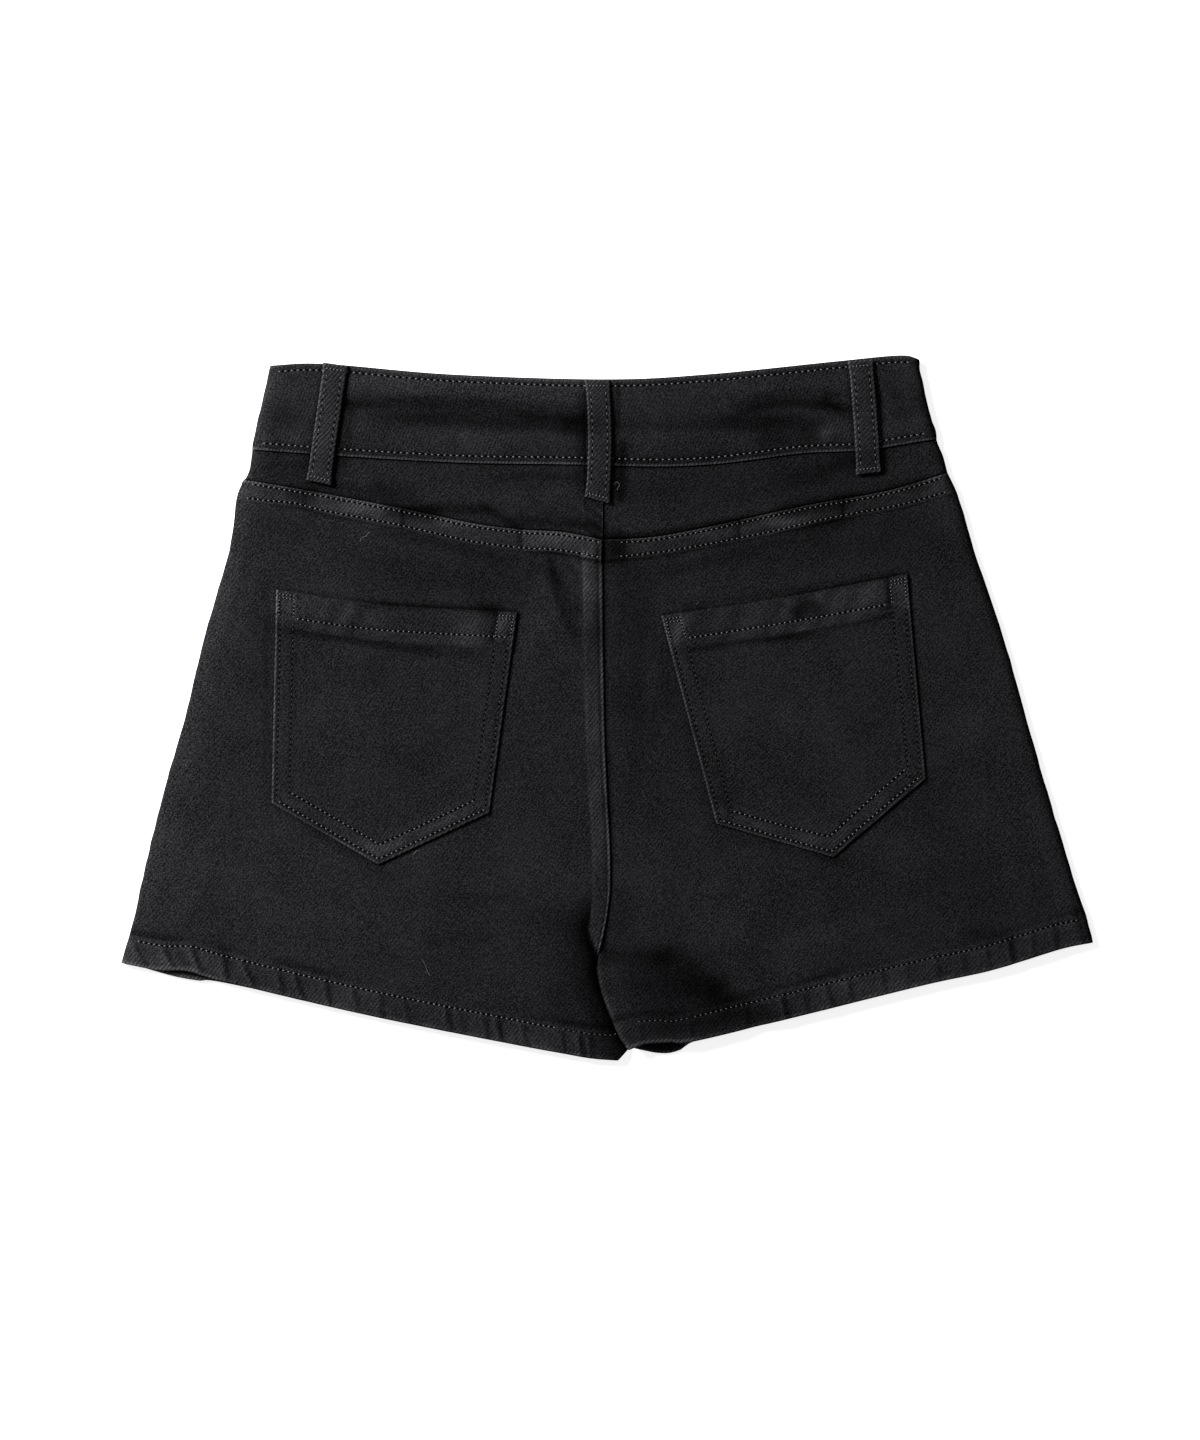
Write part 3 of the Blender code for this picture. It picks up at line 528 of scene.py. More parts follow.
# Loose thread ends on the cloth, each a few x, y points
THREAD_ENDS = (
    ((-132.5, 89.6), (-131.7, 91.9), (-129.5, 92.6), (-127.7, 94.9)),
    ((3.4, 120), (5.4, 121.8), (6.9, 120.4), (5.8, 117.6)),
    ((-99.3, -134.6), (-97.6, -137.6), (-96.4, -141), (-94.9, -143.6)),
    ((-104, -78.8), (-102.2, -76.6), (-100.8, -76.9)),
    ((48.5, 56), (48.9, 56.7), (49.5, 56.8)),
    ((58.7, -59.2), (59.5, -59.9), (60.6, -60.2)),
)


# ---------------------------------------------------------------- the shapes of the cloth


def smooth(share):
    """Ease from 0 to 1 as the share goes from 0 to 1."""
    share = np.clip(share, 0.0, 1.0)
    return share * share * (3.0 - 2.0 * share)


def quarter_round(distance, reach):
    """0 past the reach, rising to 1 at the edge along a quarter circle."""
    inward = np.clip(distance / reach, 0.0, 1.0)
    return 1.0 - np.sqrt(1.0 - (1.0 - inward) ** 2)


def bell(distance, half_width):
    """1 in the middle, falling away evenly on both sides."""
    return np.exp(-((distance / half_width) ** 2))


class Line:
    """A smooth line through the points of a table, read by its share of length."""

    STEPS = 12

    def __init__(self, *tables):
        runs = [self.run(np.array(table, float)) for table in tables]
        self.points = np.concatenate(runs)
        lengths = np.linalg.norm(np.diff(self.points, axis=0), axis=1)
        self.length = lengths.sum()
        self.shares = np.concatenate([[0.0], np.cumsum(lengths)]) / self.length

    def run(self, points):
        """Cubic pieces whose slope at each point is that between its neighbours."""
        if len(points) < 3:
            return points
        slopes = np.gradient(points, axis=0)
        steps = np.linspace(0.0, 1.0, self.STEPS, endpoint=False)[:, None]
        curve = []
        for a, b, slope_a, slope_b in zip(points, points[1:], slopes, slopes[1:]):
            blend = steps * steps * (3.0 - 2.0 * steps)
            curve.append(
                a * (1.0 - blend)
                + b * blend
                + slope_a * steps * (1.0 - steps) ** 2
                - slope_b * steps**2 * (1.0 - steps)
            )
        return np.concatenate([*curve, points[-1:]])

    def at(self, share):
        """The point at this share of the line, which runs straight on past its ends."""
        x = np.interp(share, self.shares, self.points[:, 0])
        y = np.interp(share, self.shares, self.points[:, 1])
        before = np.minimum(share, 0.0)[..., None] * self.slope(0, 1)
        after = np.maximum(np.asarray(share) - 1.0, 0.0)[..., None] * self.slope(-2, -1)
        return np.stack([x, y], axis=-1) + before + after

    def slope(self, first, second):
        """The line's run from one of its points to the next, over the line's length."""
        run = self.points[second] - self.points[first]
        return run / max(np.linalg.norm(run), 1e-6) * self.length

    def x_at(self, y):
        """The x of a line that runs down the garment, at this height."""
        down = self.points[::-1]
        return np.interp(y, down[:, 1], down[:, 0])

    def moved(self, x=0.0, y=0.0):
        """A copy of the line moved across or up."""
        copy = Line.__new__(Line)
        copy.points = self.points + np.array([x, y])
        copy.length = self.length
        copy.shares = self.shares
        return copy

    def share_at_y(self, y):
        """How far down the line this height lies."""
        return float(np.interp(-y, -self.points[:, 1], self.shares))


class Outline:
    """The four sides of a piece. Its inside points are spread between them."""

    def __init__(self, top, bottom, left, right):
        self.top = top
        self.bottom = bottom
        self.left = left
        self.right = right

    def at(self, across, down):
        """The plan point at these shares from the left side and from the top."""
        across, down = np.broadcast_arrays(across, down)
        u = across[..., None]
        v = down[..., None]
        corners = (
            (1 - u) * (1 - v) * self.top.at(0.0)
            + u * (1 - v) * self.top.at(1.0)
            + (1 - u) * v * self.bottom.at(0.0)
            + u * v * self.bottom.at(1.0)
        )
        ends = (1 - v) * self.top.at(across) + v * self.bottom.at(across)
        sides = (1 - u) * self.left.at(down) + u * self.right.at(down)
        return ends + sides - corners

    def width(self, down):
        return np.linalg.norm(self.right.at(down) - self.left.at(down), axis=-1)

    def height(self, across):
        return np.linalg.norm(self.top.at(across) - self.bottom.at(across), axis=-1)

    def area(self):
        """The flat area inside the outline, in square millimetres."""
        shares = np.linspace(0.0, 1.0, 40)
        right = self.right.at(shares)
        ring = [
            self.top.at(shares),
            right,
            self.bottom.at(shares[::-1]),
            self.left.at(shares[::-1]),
        ]
        x, y = np.concatenate(ring).T
        return 0.5 * abs(np.dot(x, np.roll(y, 1)) - np.dot(y, np.roll(x, 1)))


class Uneven:
    """Repeatable unevenness from -1 to 1 that changes over about a cell, in mm."""

    SIZE = 128

    def __init__(self, seed, cell_x, cell_y):
        self.values = np.random.default_rng(seed).uniform(-1.0, 1.0, (self.SIZE, self.SIZE))
        self.cell_x = cell_x
        self.cell_y = cell_y

    def at(self, x, y):
        x, y = np.broadcast_arrays(x / self.cell_x, y / self.cell_y)
        column = np.floor(x).astype(int)
        row = np.floor(y).astype(int)
        right = smooth(x - column)
        up = smooth(y - row)
        size = self.SIZE

        def value(i, j):
            return self.values[(column + i) % size, (row + j) % size]

        low = value(0, 0) * (1 - right) + value(1, 0) * right
        high = value(0, 1) * (1 - right) + value(1, 1) * right
        return low * (1 - up) + high * up


BODY_LEFT = Line((WAIST_TOP[0], WAIST_SEAM[0]), YOKE_SIDE_LEFT, SIDE_LEFT)
BODY_RIGHT = Line((WAIST_TOP[-1], WAIST_SEAM[-1]), YOKE_SIDE_RIGHT, SIDE_RIGHT)
SEAM_AND_LEFT_LEG = Line(CENTRE_BACK, INSEAM_LEFT)
RIGHT_LEG_EDGE = Line(CENTRE_BACK, INSEAM_RIGHT)
BROAD = Uneven(3, 46.0, 38.0)
FINE = Uneven(5, 17.0, 13.0)
SEAM_WAVE = Uneven(11, 8.5, 9.0)
SEAM_PATCH = Uneven(13, 34.0, 60.0)
HEM_ROPE = Uneven(17, 7.5, 40.0)
SIDE_WAVE = Uneven(19, 1.0, 6.5)


def folds(x, y, table):
    """The height that a table of folds adds here."""
    height = np.zeros(np.broadcast(x, y).shape)
    for fold_x, fold_y, slant, length, half_width, rise, *bow in table:
        turn = math.radians(slant)
        along = (x - fold_x) * math.cos(turn) + (y - fold_y) * math.sin(turn)
        across = (y - fold_y) * math.cos(turn) - (x - fold_x) * math.sin(turn)
        if bow:
            across = across - bow[0] * (2.0 * along / length) ** 2
        end = smooth((0.62 * length - np.abs(along)) / (0.3 * length))
        height += rise * end * bell(across, half_width)
    return height


def cloth_top(x, y, side):
    """Height of the back's plain outer face. The side is -1 left of the seam, 1 right."""
    inboard = np.minimum(x - BODY_LEFT.x_at(y), BODY_RIGHT.x_at(y) - x)
    puff = AIR * (1.0 - np.exp(-np.maximum(inboard - 3.0, 0.0) / AIR_REACH))
    creased = folds(x, y, FOLDS) + folds(x, y, CREASES) + folds(x, y, WAIST_CREASES)
    creased += 0.22 * BROAD.at(x, y) + 0.10 * FINE.at(x, y)
    height = EDGE_TOP + puff + creased * smooth((inboard - 3.0) / 12.0)
    below = CROTCH[1] - y
    seam = SEAM_AND_LEFT_LEG if side < 0 else RIGHT_LEG_EDGE
    inward = np.abs(x - seam.x_at(y))
    dip = VALLEY_DEPTH * smooth((VALLEY_START - y) / VALLEY_LENGTH) * bell(inward, VALLEY_REACH)
    crossed = smooth(below / 10.0)
    if side < 0:
        roll = quarter_round(inward, LEG_EDGE_ROLL)
        return height - dip - LEG_EDGE_DROP * roll * smooth((below + 16.0) / 18.0)
    roll = quarter_round(inward, RIGHT_EDGE_ROLL)
    lift = RIGHT_LEG_LIFT * crossed * smooth((LIFT_REACH - inward) / (LIFT_REACH - 10.0))
    return height - dip * (1.0 - crossed) + lift - RIGHT_EDGE_DROP * roll * crossed


def rubbed(x, y):
    """How far the cloth is rubbed lighter here, from the table."""
    amount = np.zeros(np.broadcast(x, y).shape)
    for rub_x, rub_y, reach_x, reach_y, strength in RUBBED:
        spread = ((x - rub_x) / reach_x) ** 2 + ((y - rub_y) / reach_y) ** 2
        amount = np.maximum(amount, strength * np.exp(-spread))
    return amount


def shaded(x, y):
    """The painted shade here: 0 is the plain cloth, and below 0 it is painted lighter."""
    from_right = BODY_RIGHT.x_at(y) - x
    # The right side is painted darker because it turns away from the light, and the left side is
    # painted lighter
    sides = (
        1.2 * bell(from_right, 2.8)
        - 0.22 * bell(from_right - 10.0, 6.0)
        - 0.3 * bell(x - BODY_LEFT.x_at(y) - 3.0, 6.0)
    )
    return np.clip(folds(x, y, PAINTED_SHADES) + sides, -0.6, 1.5)


def ripple(x, y):
    """How far the garment's turned sides waver, most at the waist."""
    strength = 0.2 + 0.6 * smooth((y - 100.0) / 30.0)
    left = SIDE_WAVE.at(1.0, y) * np.exp(-np.abs(x - BODY_LEFT.x_at(y)) / 6.0)
    right = SIDE_WAVE.at(5.0, y) * np.exp(-np.abs(x - BODY_RIGHT.x_at(y)) / 6.0)
    return strength * (left + right)


def edge_distance(x, y, start, end):
    """How far each place is from a straight edge."""
    run = np.subtract(end, start)
    share = ((x - start[0]) * run[0] + (y - start[1]) * run[1]) / np.dot(run, run)
    share = np.clip(share, 0.0, 1.0)
    return np.hypot(x - start[0] - share * run[0], y - start[1] - share * run[1])


def shadow_casting_edges():
    """The straight edges of pockets and loops, with how much painted shadow each lays beside it.
    """
    edges = []
    for corners in POCKETS.values():
        first, middle, last = corners["mouth"]
        foot_left = corners["left"][1]
        foot_right = corners["right"][1]
        point = corners["point"]
        edges += [(first, middle, 0.6), (middle, last, 1.0), (last, foot_right, 0.8)]
        edges += [(first, foot_left, 0.35), (foot_left, point, 0.6), (point, foot_right, 0.8)]
    for head, foot, *_ in LOOPS.values():
        right = 0.1 if head[0] > 100.0 else 0.9
        for side, amount in ((-0.5, 0.7), (0.5, right)):
            across = side * LOOP_WIDTH
            ends = [(point[0] + across, point[1]) for point in (head, foot)]
            edges.append((*ends, amount))
    return edges


def painted_shadow_beside(x, y):
    """The painted shadow on the cloth close beside the pockets and the loops."""
    dark = np.zeros(np.broadcast(x, y).shape)
    for start, end, amount in shadow_casting_edges():
        distance = edge_distance(x, y, start, end)
        dark = np.maximum(dark, amount * bell(distance, 1.1))
    return dark


def groove(distance, row, depth=0.28, half_width=0.75):
    """The channel that a row of stitches pulls into the cloth."""
    return -depth * bell(distance - row, half_width)


def tucked(distance):
    """How far an edge that runs on under its neighbour ducks below it."""
    return TUCK_DEPTH * smooth(0.6 - distance / 1.2)


def band(distance, width, shoulder):
    """1 on a seam's doubled band, falling to 0 past its inner side."""
    return smooth((width + shoulder - distance) / shoulder)


def puckers(along, distance, row, reach, amount):
    """Waves that a tight seam gathers beside its stitches, in uneven patches."""
    patch = 0.55 + 0.45 * SEAM_PATCH.at(along, row)
    wave = SEAM_WAVE.at(along + 0.5 * distance, distance + 7.0 * row)
    return amount * patch * wave * np.exp(-np.abs(distance - row) / reach)


def sewn_seat(y):
    """1 where the seat seam is sewn, falling to 0 at the crotch."""
    return smooth((y - CROTCH[1]) / 12.0)


def side_of(x):
    """Which leg a place lies on: -1 is the left one and 1 the right."""
    return -1 if x < 0.0 else 1


def front_drop(share):
    """How far the front of the waistband lies below its back, at this share across."""
    return FRONT_WAIST_DROP * smooth(np.minimum(share, 1.0 - share) / 0.2)


def yoke_outlines():
    """The yoke's two halves, cut from the waist seam, the centre back and the sides."""
    seam = Line(CENTRE_BACK)
    cut = seam.share_at_y(YOKE_SEAM_LEFT[-1][1])
    centre = Line(seam.at(np.linspace(0.0, cut, 4)))
    waist = Line(WAIST_SEAM)
    split = float(np.interp(CENTRE_BACK[0][0], waist.points[:, 0], waist.shares))
    waist_left = Line(waist.at(np.linspace(0.0, split, 14)))
    waist_right = Line(waist.at(np.linspace(split, 1.0, 14)))
    half = SEAM_GAP / 2.0
    left = Outline(
        waist_left, Line(YOKE_SEAM_LEFT), Line(YOKE_SIDE_LEFT), centre.moved(-half)
    )
    right = Outline(
        waist_right, Line(YOKE_SEAM_RIGHT), centre.moved(half), Line(YOKE_SIDE_RIGHT)
    )
    return left, right


def back_outlines():
    """The two leg panels, cut from the yoke seam, the sides, the hems and the inseams."""
    half = SEAM_GAP / 2.0
    from_yoke = CENTRE_BACK[2:]
    tucked_inseam = [(x + TUCK_UNDER, y) for x, y in INSEAM_RIGHT]
    to_tucked_crotch = [*from_yoke[:-1], tucked_inseam[0]]
    left = Outline(
        Line(YOKE_SEAM_LEFT),
        Line(HEM_LEFT[:-1], HEM_LEFT[-2:]),
        Line(SIDE_LEFT),
        Line(from_yoke, INSEAM_LEFT).moved(-half),
    )
    right = Outline(
        Line(YOKE_SEAM_RIGHT),
        Line(HEM_RIGHT),
        Line(to_tucked_crotch, tucked_inseam).moved(half),
        Line(SIDE_RIGHT),
    )
    return left, right


YOKE_LEFT, YOKE_RIGHT = yoke_outlines()
BACK_LEFT, BACK_RIGHT = back_outlines()
WAIST = Outline(
    Line(WAIST_TOP),
    Line(WAIST_SEAM),
    Line((WAIST_TOP[0], WAIST_SEAM[0])),
    Line((WAIST_TOP[-1], WAIST_SEAM[-1])),
)


def pocket_outline(name):
    """A patch pocket's outline, and the share of its foot at which the point lies."""
    corners = POCKETS[name]
    foot = (corners["left"][-1], corners["point"], corners["right"][-1])
    bottom = Line(foot[:2], foot[1:])
    turn = math.dist(foot[0], foot[1]) / bottom.length
    outline = Outline(
        Line(corners["mouth"]), bottom, Line(corners["left"]), Line(corners["right"])
    )
    return outline, turn


# Reliefs: what a piece's sewing adds to the plain cloth. Each takes the plan point and the
# distances from the piece's four sides, and gives the rise and a value for the place's wear and
# painted light, which is painted shade where it is below nothing.


def tucks(x, share, table, reach=5.0):
    """A twisted edge: the cloth swells up to each tuck of the table and drops past it.

    The share runs from 0 at the stitches to 1 at the edge. Gives the height, and the painted
    highlight and painted shade on the two sides of each tuck.
    """
    height = np.zeros(np.shape(x))
    painted_tuck_light = np.zeros(np.shape(x))
    for place, depth, run in table:
        past = x - place - run * share**1.4
        fade = np.exp(-np.abs(past) / np.where(past < 0.0, reach, 0.45 * reach))
        height -= depth * np.tanh(past) * fade
        painted_tuck_light += depth * 0.45 * bell(past + 1.2, 1.1)
        painted_tuck_light -= depth * 0.75 * bell(past - 1.1, 1.3)
    return height, painted_tuck_light


def waistband_relief(x, y, left, right, top, bottom):
    """The top edge is rounded, the bottom one rubbed light with a painted highlight, and both are
    puckered.
    """
    rise = (
        WAISTBAND_PROUD
        - 0.7 * quarter_round(top, 1.6)
        - 0.5 * quarter_round(bottom, 0.9)
        + groove(top, WAIST_TOP_ROW, 0.4)
        + groove(bottom, WAIST_BOTTOM_ROW, 0.5)
        + puckers(x, bottom, WAIST_BOTTOM_ROW, 7.0, 0.75)
        + puckers(x + 300, top, WAIST_TOP_ROW, 3.0, 0.3)
    )
    patch = 0.85 + 0.25 * SEAM_PATCH.at(x, 2.0)
    streaks = SEAM_WAVE.at(1.1 * x, 5.0) * bell(bottom - 9.0, 6.0)
    # Both edges carry a painted highlight, the puckers painted light streaks, and a painted shade
    # line runs inside the bottom edge
    wear_and_painted_light = (
        patch * bell(bottom - 0.5, 0.8)
        + 0.5 * patch * bell(top - 1.0, 0.7)
        + 0.16 * streaks
        - 0.25 * bell(bottom - 2.4, 0.8)
    )
    return rise, wear_and_painted_light


def yoke_relief(x, y, left, right, top, bottom):
    """Both edges duck under their neighbours, with a painted shade line along each."""
    rise = puckers(x, bottom, 0.0, 6.0, 0.5) - tucked(bottom) - tucked(top)
    return rise, -0.9 * bell(bottom, 1.3) - 0.6 * bell(top, 1.1)


def felled_yoke_relief(x, y, left, right, top, bottom):
    """The left half, with the head of the seat seam, which is twisted like a rope."""
    rise, wear_and_painted_light = yoke_relief(x, y, left, right, top, bottom)
    fell = band(right, FELL_WIDTH, 1.4)
    rope = np.sin((y + 0.8 * x) / 0.95)
    rise = rise + SEAM_PROUD * fell * (1.0 + 0.6 * rope)
    # A painted highlight along the fell's fold, painted light and shade on the rope's twists, and
    # the fell a little darker
    return rise, wear_and_painted_light + 0.6 * np.exp(-right / 0.8) + fell * (0.3 * rope - 0.25)


def right_yoke_relief(x, y, left, right, top, bottom):
    """The right half, which runs on under the seat seam, with a painted shadow beside it."""
    rise, wear_and_painted_light = yoke_relief(x, y, left, right, top, bottom)
    return rise - tucked(left), wear_and_painted_light - 1.1 * bell(left - 0.3, 1.1)


def ridge_step(x):
    """How far each stretch of the yoke's ridge stands up, and the painted shade in its breaks."""
    step = np.zeros(np.shape(x))
    shade = np.zeros(np.shape(x))
    for (place, rise), (_, before) in zip(RIDGE_BREAKS[1:], RIDGE_BREAKS):
        past = x - place
        step += (rise - before) * smooth(0.5 + past / 1.6)
        step -= 0.5 * bell(past + 1.0, 1.0)
        shade += 0.9 * bell(past + 0.8, 0.8)
    return step, shade


def ridge_row(x):
    """How far below the yoke's seam its lower row of stitches runs."""
    places, distances = np.transpose(RIDGE_ROW)
    return np.interp(x, places, distances)


def leg_relief(x, y, left, right, top, bottom):
    """The lapped ridge along the yoke's seam, and the hem that its stitches twist and gather."""
    row = ridge_row(x)
    ridge = band(top, row + 1.1, 1.4)
    step, breaks = ridge_step(x)
    swell = np.sin(np.pi * np.clip((bottom + 1.5) / (HEM + 3.0), 0.0, 1.0)) ** 0.7
    rope, painted_tuck_light = tucks(x, np.clip(1.0 - bottom / HEM, 0.0, 1.0), HEM_TUCKS)
    rope = rope + 0.25 * HEM_ROPE.at(x + 0.75 * bottom, 3.0)
    rise = (
        ridge * (SEAM_PROUD + step + 0.3 * SEAM_WAVE.at(x + 50.0, y * 0.3))
        - 0.5 * quarter_round(top, 0.8)
        + groove(top, RIDGE_TOP_ROW, 0.4)
        + groove(top, row, 0.4)
        + puckers(x + 90.0, top, 9.5, 6.0, 0.6)
        + turned_hem(bottom) * HEM_PROUD
        + swell * rope
        - 0.75 * quarter_round(bottom, 1.7)
        + groove(bottom, HEM, 0.55, 0.9)
        + puckers(x + 40.0, bottom, HEM + 1.0, 5.5, 0.7)
    )
    rim = 0.45 + 0.35 * HEM_ROPE.at(2.0 * x, 7.0)
    gathered = np.clip(0.45 + 0.75 * SEAM_PATCH.at(2.0 * x, 9.0), 0.0, 1.0)
    # Painted highlights on the ridge's top edge, the hem's rounded edge and the gaping left end,
    # painted light and shade on the tucks, a painted highlight and painted shade above the hem's
    # stitches and below the ridge's lower row, and painted shade in the ridge's breaks
    wear_and_painted_light = (
        0.7 * bell(top, 1.0)
        + rim * bell(bottom - 1.3, 0.7)
        + painted_tuck_light * swell
        + 0.1 * turned_hem(bottom)
        + 1.4 * bell(bottom, 0.8) * smooth((HEM_GAPE_END - x) / 8.0)
        + 0.25 * gathered * bell(bottom - HEM - 1.9, 0.9)
        - 0.7 * gathered * bell(bottom - HEM - 4.2, 2.0)
        + ridge * (0.12 + 0.3 * np.clip(step, 0.0, 1.0) - breaks)
        - 0.6 * bell(top - row - 2.4, 1.2) * gathered
    )
    return rise, wear_and_painted_light


def turned_hem(bottom):
    """1 on the turned hem, falling to 0 just past its stitches."""
    return band(bottom, HEM + 1.2, 1.6)


def felled_leg_relief(x, y, left, right, top, bottom):
    """The left leg: a felled seat seam that narrows to the crotch, then a painted shadow by the
    right leg.
    """
    rise, wear_and_painted_light = leg_relief(x, y, left, right, top, bottom)
    sewn = sewn_seat(y)
    width = FELL_WIDTH * smooth((y - CROTCH[1]) / 22.0)
    fell = band(right, width, 1.6) * smooth((top - 0.5) / 3.0)
    cord = bell(right - 0.8, 0.7)
    rise = rise + sewn * ((SEAM_PROUD - 0.1) * fell + 0.4 * cord + groove(right, 2.3, 0.3))
    rise = rise + sewn * puckers(y, right, 8.6, 4.5, 0.45)
    patch = 0.5 + 0.7 * SEAM_WAVE.at(0.5 * x, 0.7 * y)
    # A painted highlight on the cord with a painted shade line beside it, and the fell lighter in
    # patches
    wear_and_painted_light = wear_and_painted_light + sewn * (0.6 * cord + 0.55 * fell * patch) - 0.4 * sewn * bell(right - 2.4, 0.6)
    beside = RIGHT_LEG_EDGE.x_at(y) - x - width
    beyond = np.maximum(beside + 1.0, 0.0)
    painted_shadow_of_right_leg = 1.5 * bell(beyond, 4.0) + 1.1 * bell(beyond, 13.0)
    painted_shadow_of_right_leg = painted_shadow_of_right_leg * smooth((beside + 1.6) / 2.0)
    return rise, wear_and_painted_light - painted_shadow_of_right_leg * smooth((-94.0 - y) / 26.0)


def right_leg_relief(x, y, left, right, top, bottom):
    """The right leg: tucked under the seat seam, free below the crotch, gaping at its hem, shown
    by a painted highlight.
    """
    rise, wear_and_painted_light = leg_relief(x, y, left, right, top, bottom)
    sewn = sewn_seat(y)
    side_seam = bell(right - 4.5, 0.8) * band(bottom, HEM + 4.0, 4.0)
    edge = (1.0 - sewn) * bell(left + TUCK_UNDER - 1.2, 1.1)
    seam_shade = sewn * bell(left - 0.3, 1.1)
    gape = 1.2 * bell(bottom - 1.3, 0.8) * smooth((52.0 - x) / 8.0)
    # Painted highlights on the free edge and the gaping hem, painted shadow beside the seat seam
    # and in the side seam's dip
    wear_and_painted_light = wear_and_painted_light + 0.3 * edge + gape - 1.3 * seam_shade - 0.8 * side_seam
    return rise - sewn * tucked(left) - 0.6 * side_seam, wear_and_painted_light


def pocket_relief(x, y, left, right, top, bottom):
    """The turned mouth, its tacked corners, and the cloth turned in round sides and foot."""
    outer_row, inner_row = POCKET_SIDE_ROWS
    mouth = band(top, POCKET_MOUTH - 0.8, 0.9)
    side = np.minimum(np.minimum(left, right), bottom)
    corner = band(np.minimum(left, right), POCKET_TURN, 0.9) * band(top, 15.5, 0.9)
    turned = band(side, POCKET_TURN, 1.4) * (1.0 - mouth)
    rise = (
        0.6 * mouth
        + groove(top, POCKET_ROW, 0.5) * mouth
        + 0.2 * corner
        - 0.55 * quarter_round(top, 1.2)
        + 0.3 * turned
        - 0.75 * quarter_round(side, 1.1)
        + groove(side, outer_row, 0.35)
        + groove(side, inner_row, 0.35)
        + puckers(x, top, 15.0, 8.0, 0.7)
        + puckers(x + y, side, 6.0, 4.0, 0.4)
    )
    rim = 0.8 + 0.3 * SEAM_WAVE.at(x + y, 4.0)
    streaks = SEAM_WAVE.at(1.3 * x - 0.6 * y, 2.0)
    beyond = bell(right - POCKET_TURN - 0.7, 0.8) * band(top, 15.5, 2.0)
    below = bell(top - POCKET_MOUTH - 1.0, 1.2) * smooth((side - 8.0) / 6.0)
    gape = np.clip(0.5 + 0.8 * SEAM_PATCH.at(1.4 * x, 5.0), 0.0, 1.0)
    # Rubbed edges with a painted highlight, painted shade lines inside them and along the inner
    # row, a lighter mouth and corners, and painted shadow beyond the right corner and below the
    # mouth's fold
    wear_and_painted_light = (
        rim * bell(side - 0.4, 0.6)
        - 0.3 * bell(side - 1.9, 0.7)
        + mouth * (0.12 + 0.3 * streaks) * smooth(top / 2.0)
        + 0.12 * corner
        + bell(bottom - 6.2, 2.6) * (0.1 + 0.25 * streaks)
        - 0.3 * bell(side - inner_row, 0.7) * (1.0 - mouth)
        - beyond
        - 0.8 * below * gape
    )
    return rise, wear_and_painted_light


class Station:
    """Where a column of a piece's grid lies.

    On top it has a share of the width and an offset. Round a side its place is "left" or
    "right" and its share is an angle in degrees. Under the garment it is "under".
    """

    def __init__(self, place, share, offset=0.0):
        self.place = place
        self.share = share
        self.offset = offset


def nowhere(place):
    """For cloth that is neither deeper nor lower anywhere."""
    return 0.0 * place


class SeenCloth:
    """A piece of the back or on it. Its side is -1 left of the seat seam, 1 right and 0 both."""

    def __init__(self, outline, side, relief):
        self.outline = outline
        self.side = side
        self.relief = relief

    def point(self, share, offset, down_share, down_offset):
        """The outer face's point at one place, for what is sewn on it."""
        rows = np.array([down_share]), np.array([down_offset])
        return self.skin(Station("top", share, offset), rows)[0][0]


class BackCloth(SeenCloth):
    """A piece of the back, which may fold round a side of the garment and under it."""

    def __init__(self, outline, side, relief, deep=nowhere, under_drop=nowhere):
        super().__init__(outline, side, relief)
        self.deep = deep
        self.under_drop = under_drop

    def plan(self, share, offset, rows):
        shares, offsets = rows
        down = shares + offsets / self.outline.height(share)
        across = share + offset / self.outline.width(down)
        x, y = self.outline.at(across, down).T
        x = x + ripple(x, y)
        width = self.outline.width(down)
        height = self.outline.height(share)
        edges = across * width, (1 - across) * width, down * height, (1 - down) * height
        return x, y, across, edges

    def lies_on(self, x, y):
        if self.side:
            return cloth_top(x, y, self.side)
        halves = cloth_top(x, y, -1), cloth_top(x, y, 1)
        return np.where(x < CENTRE_BACK[0][0], *halves)

    def skin(self, station, rows):
        """Outer and inner points of one column, and the wear and painted light of each of its
        places.
        """
        if station.place in ("left", "right"):
            return self.side_fold(station, rows)
        x, y, across, edges = self.plan(station.share, station.offset, rows)
        rise, wear_and_painted_light = self.relief(x, y, *edges)
        deep = self.deep(edges[3])
        if station.place == "under":
            y = y - self.under_drop(across)
            wall = DENIM + np.maximum(rise, 0.0) + deep
            outer = np.stack([x, y, 0.0 * x], axis=1)
            return outer, np.stack([x, y, wall], axis=1), wear_and_painted_light
        top = self.lies_on(x, y)
        outer = np.stack([x, y, top + rise], axis=1)
        inner = np.stack([x, y, top - DENIM - deep], axis=1)
        # Painted shadow beside the pockets and loops darkens the cloth here
        return outer, inner, wear_and_painted_light - painted_shadow_beside(x, y)

    def side_fold(self, station, rows):
        """The same round a side, where the wall keeps its thickness round the turn."""
        left = station.place == "left"
        share, inset = (0.0, 3.0) if left else (1.0, -3.0)
        x, y, _, edges = self.plan(share, 0.0, rows)
        near_x, near_y, _, near_edges = self.plan(share, inset, rows)
        rise, wear_and_painted_light = self.relief(near_x, near_y, *near_edges)
        radius = (self.lies_on(near_x, near_y) + rise) / 2.0
        turn = math.radians(station.share)
        faces = []
        for reach in (radius, radius - DENIM - np.maximum(rise, 0) - self.deep(edges[3])):
            inward = radius - reach * math.cos(turn)
            side_x = x + inward if left else x - inward
            side_y = y + (near_y - y) * inward / abs(inset)
            faces.append(np.stack([side_x, side_y, radius + reach * math.sin(turn)], axis=1))
        return *faces, wear_and_painted_light


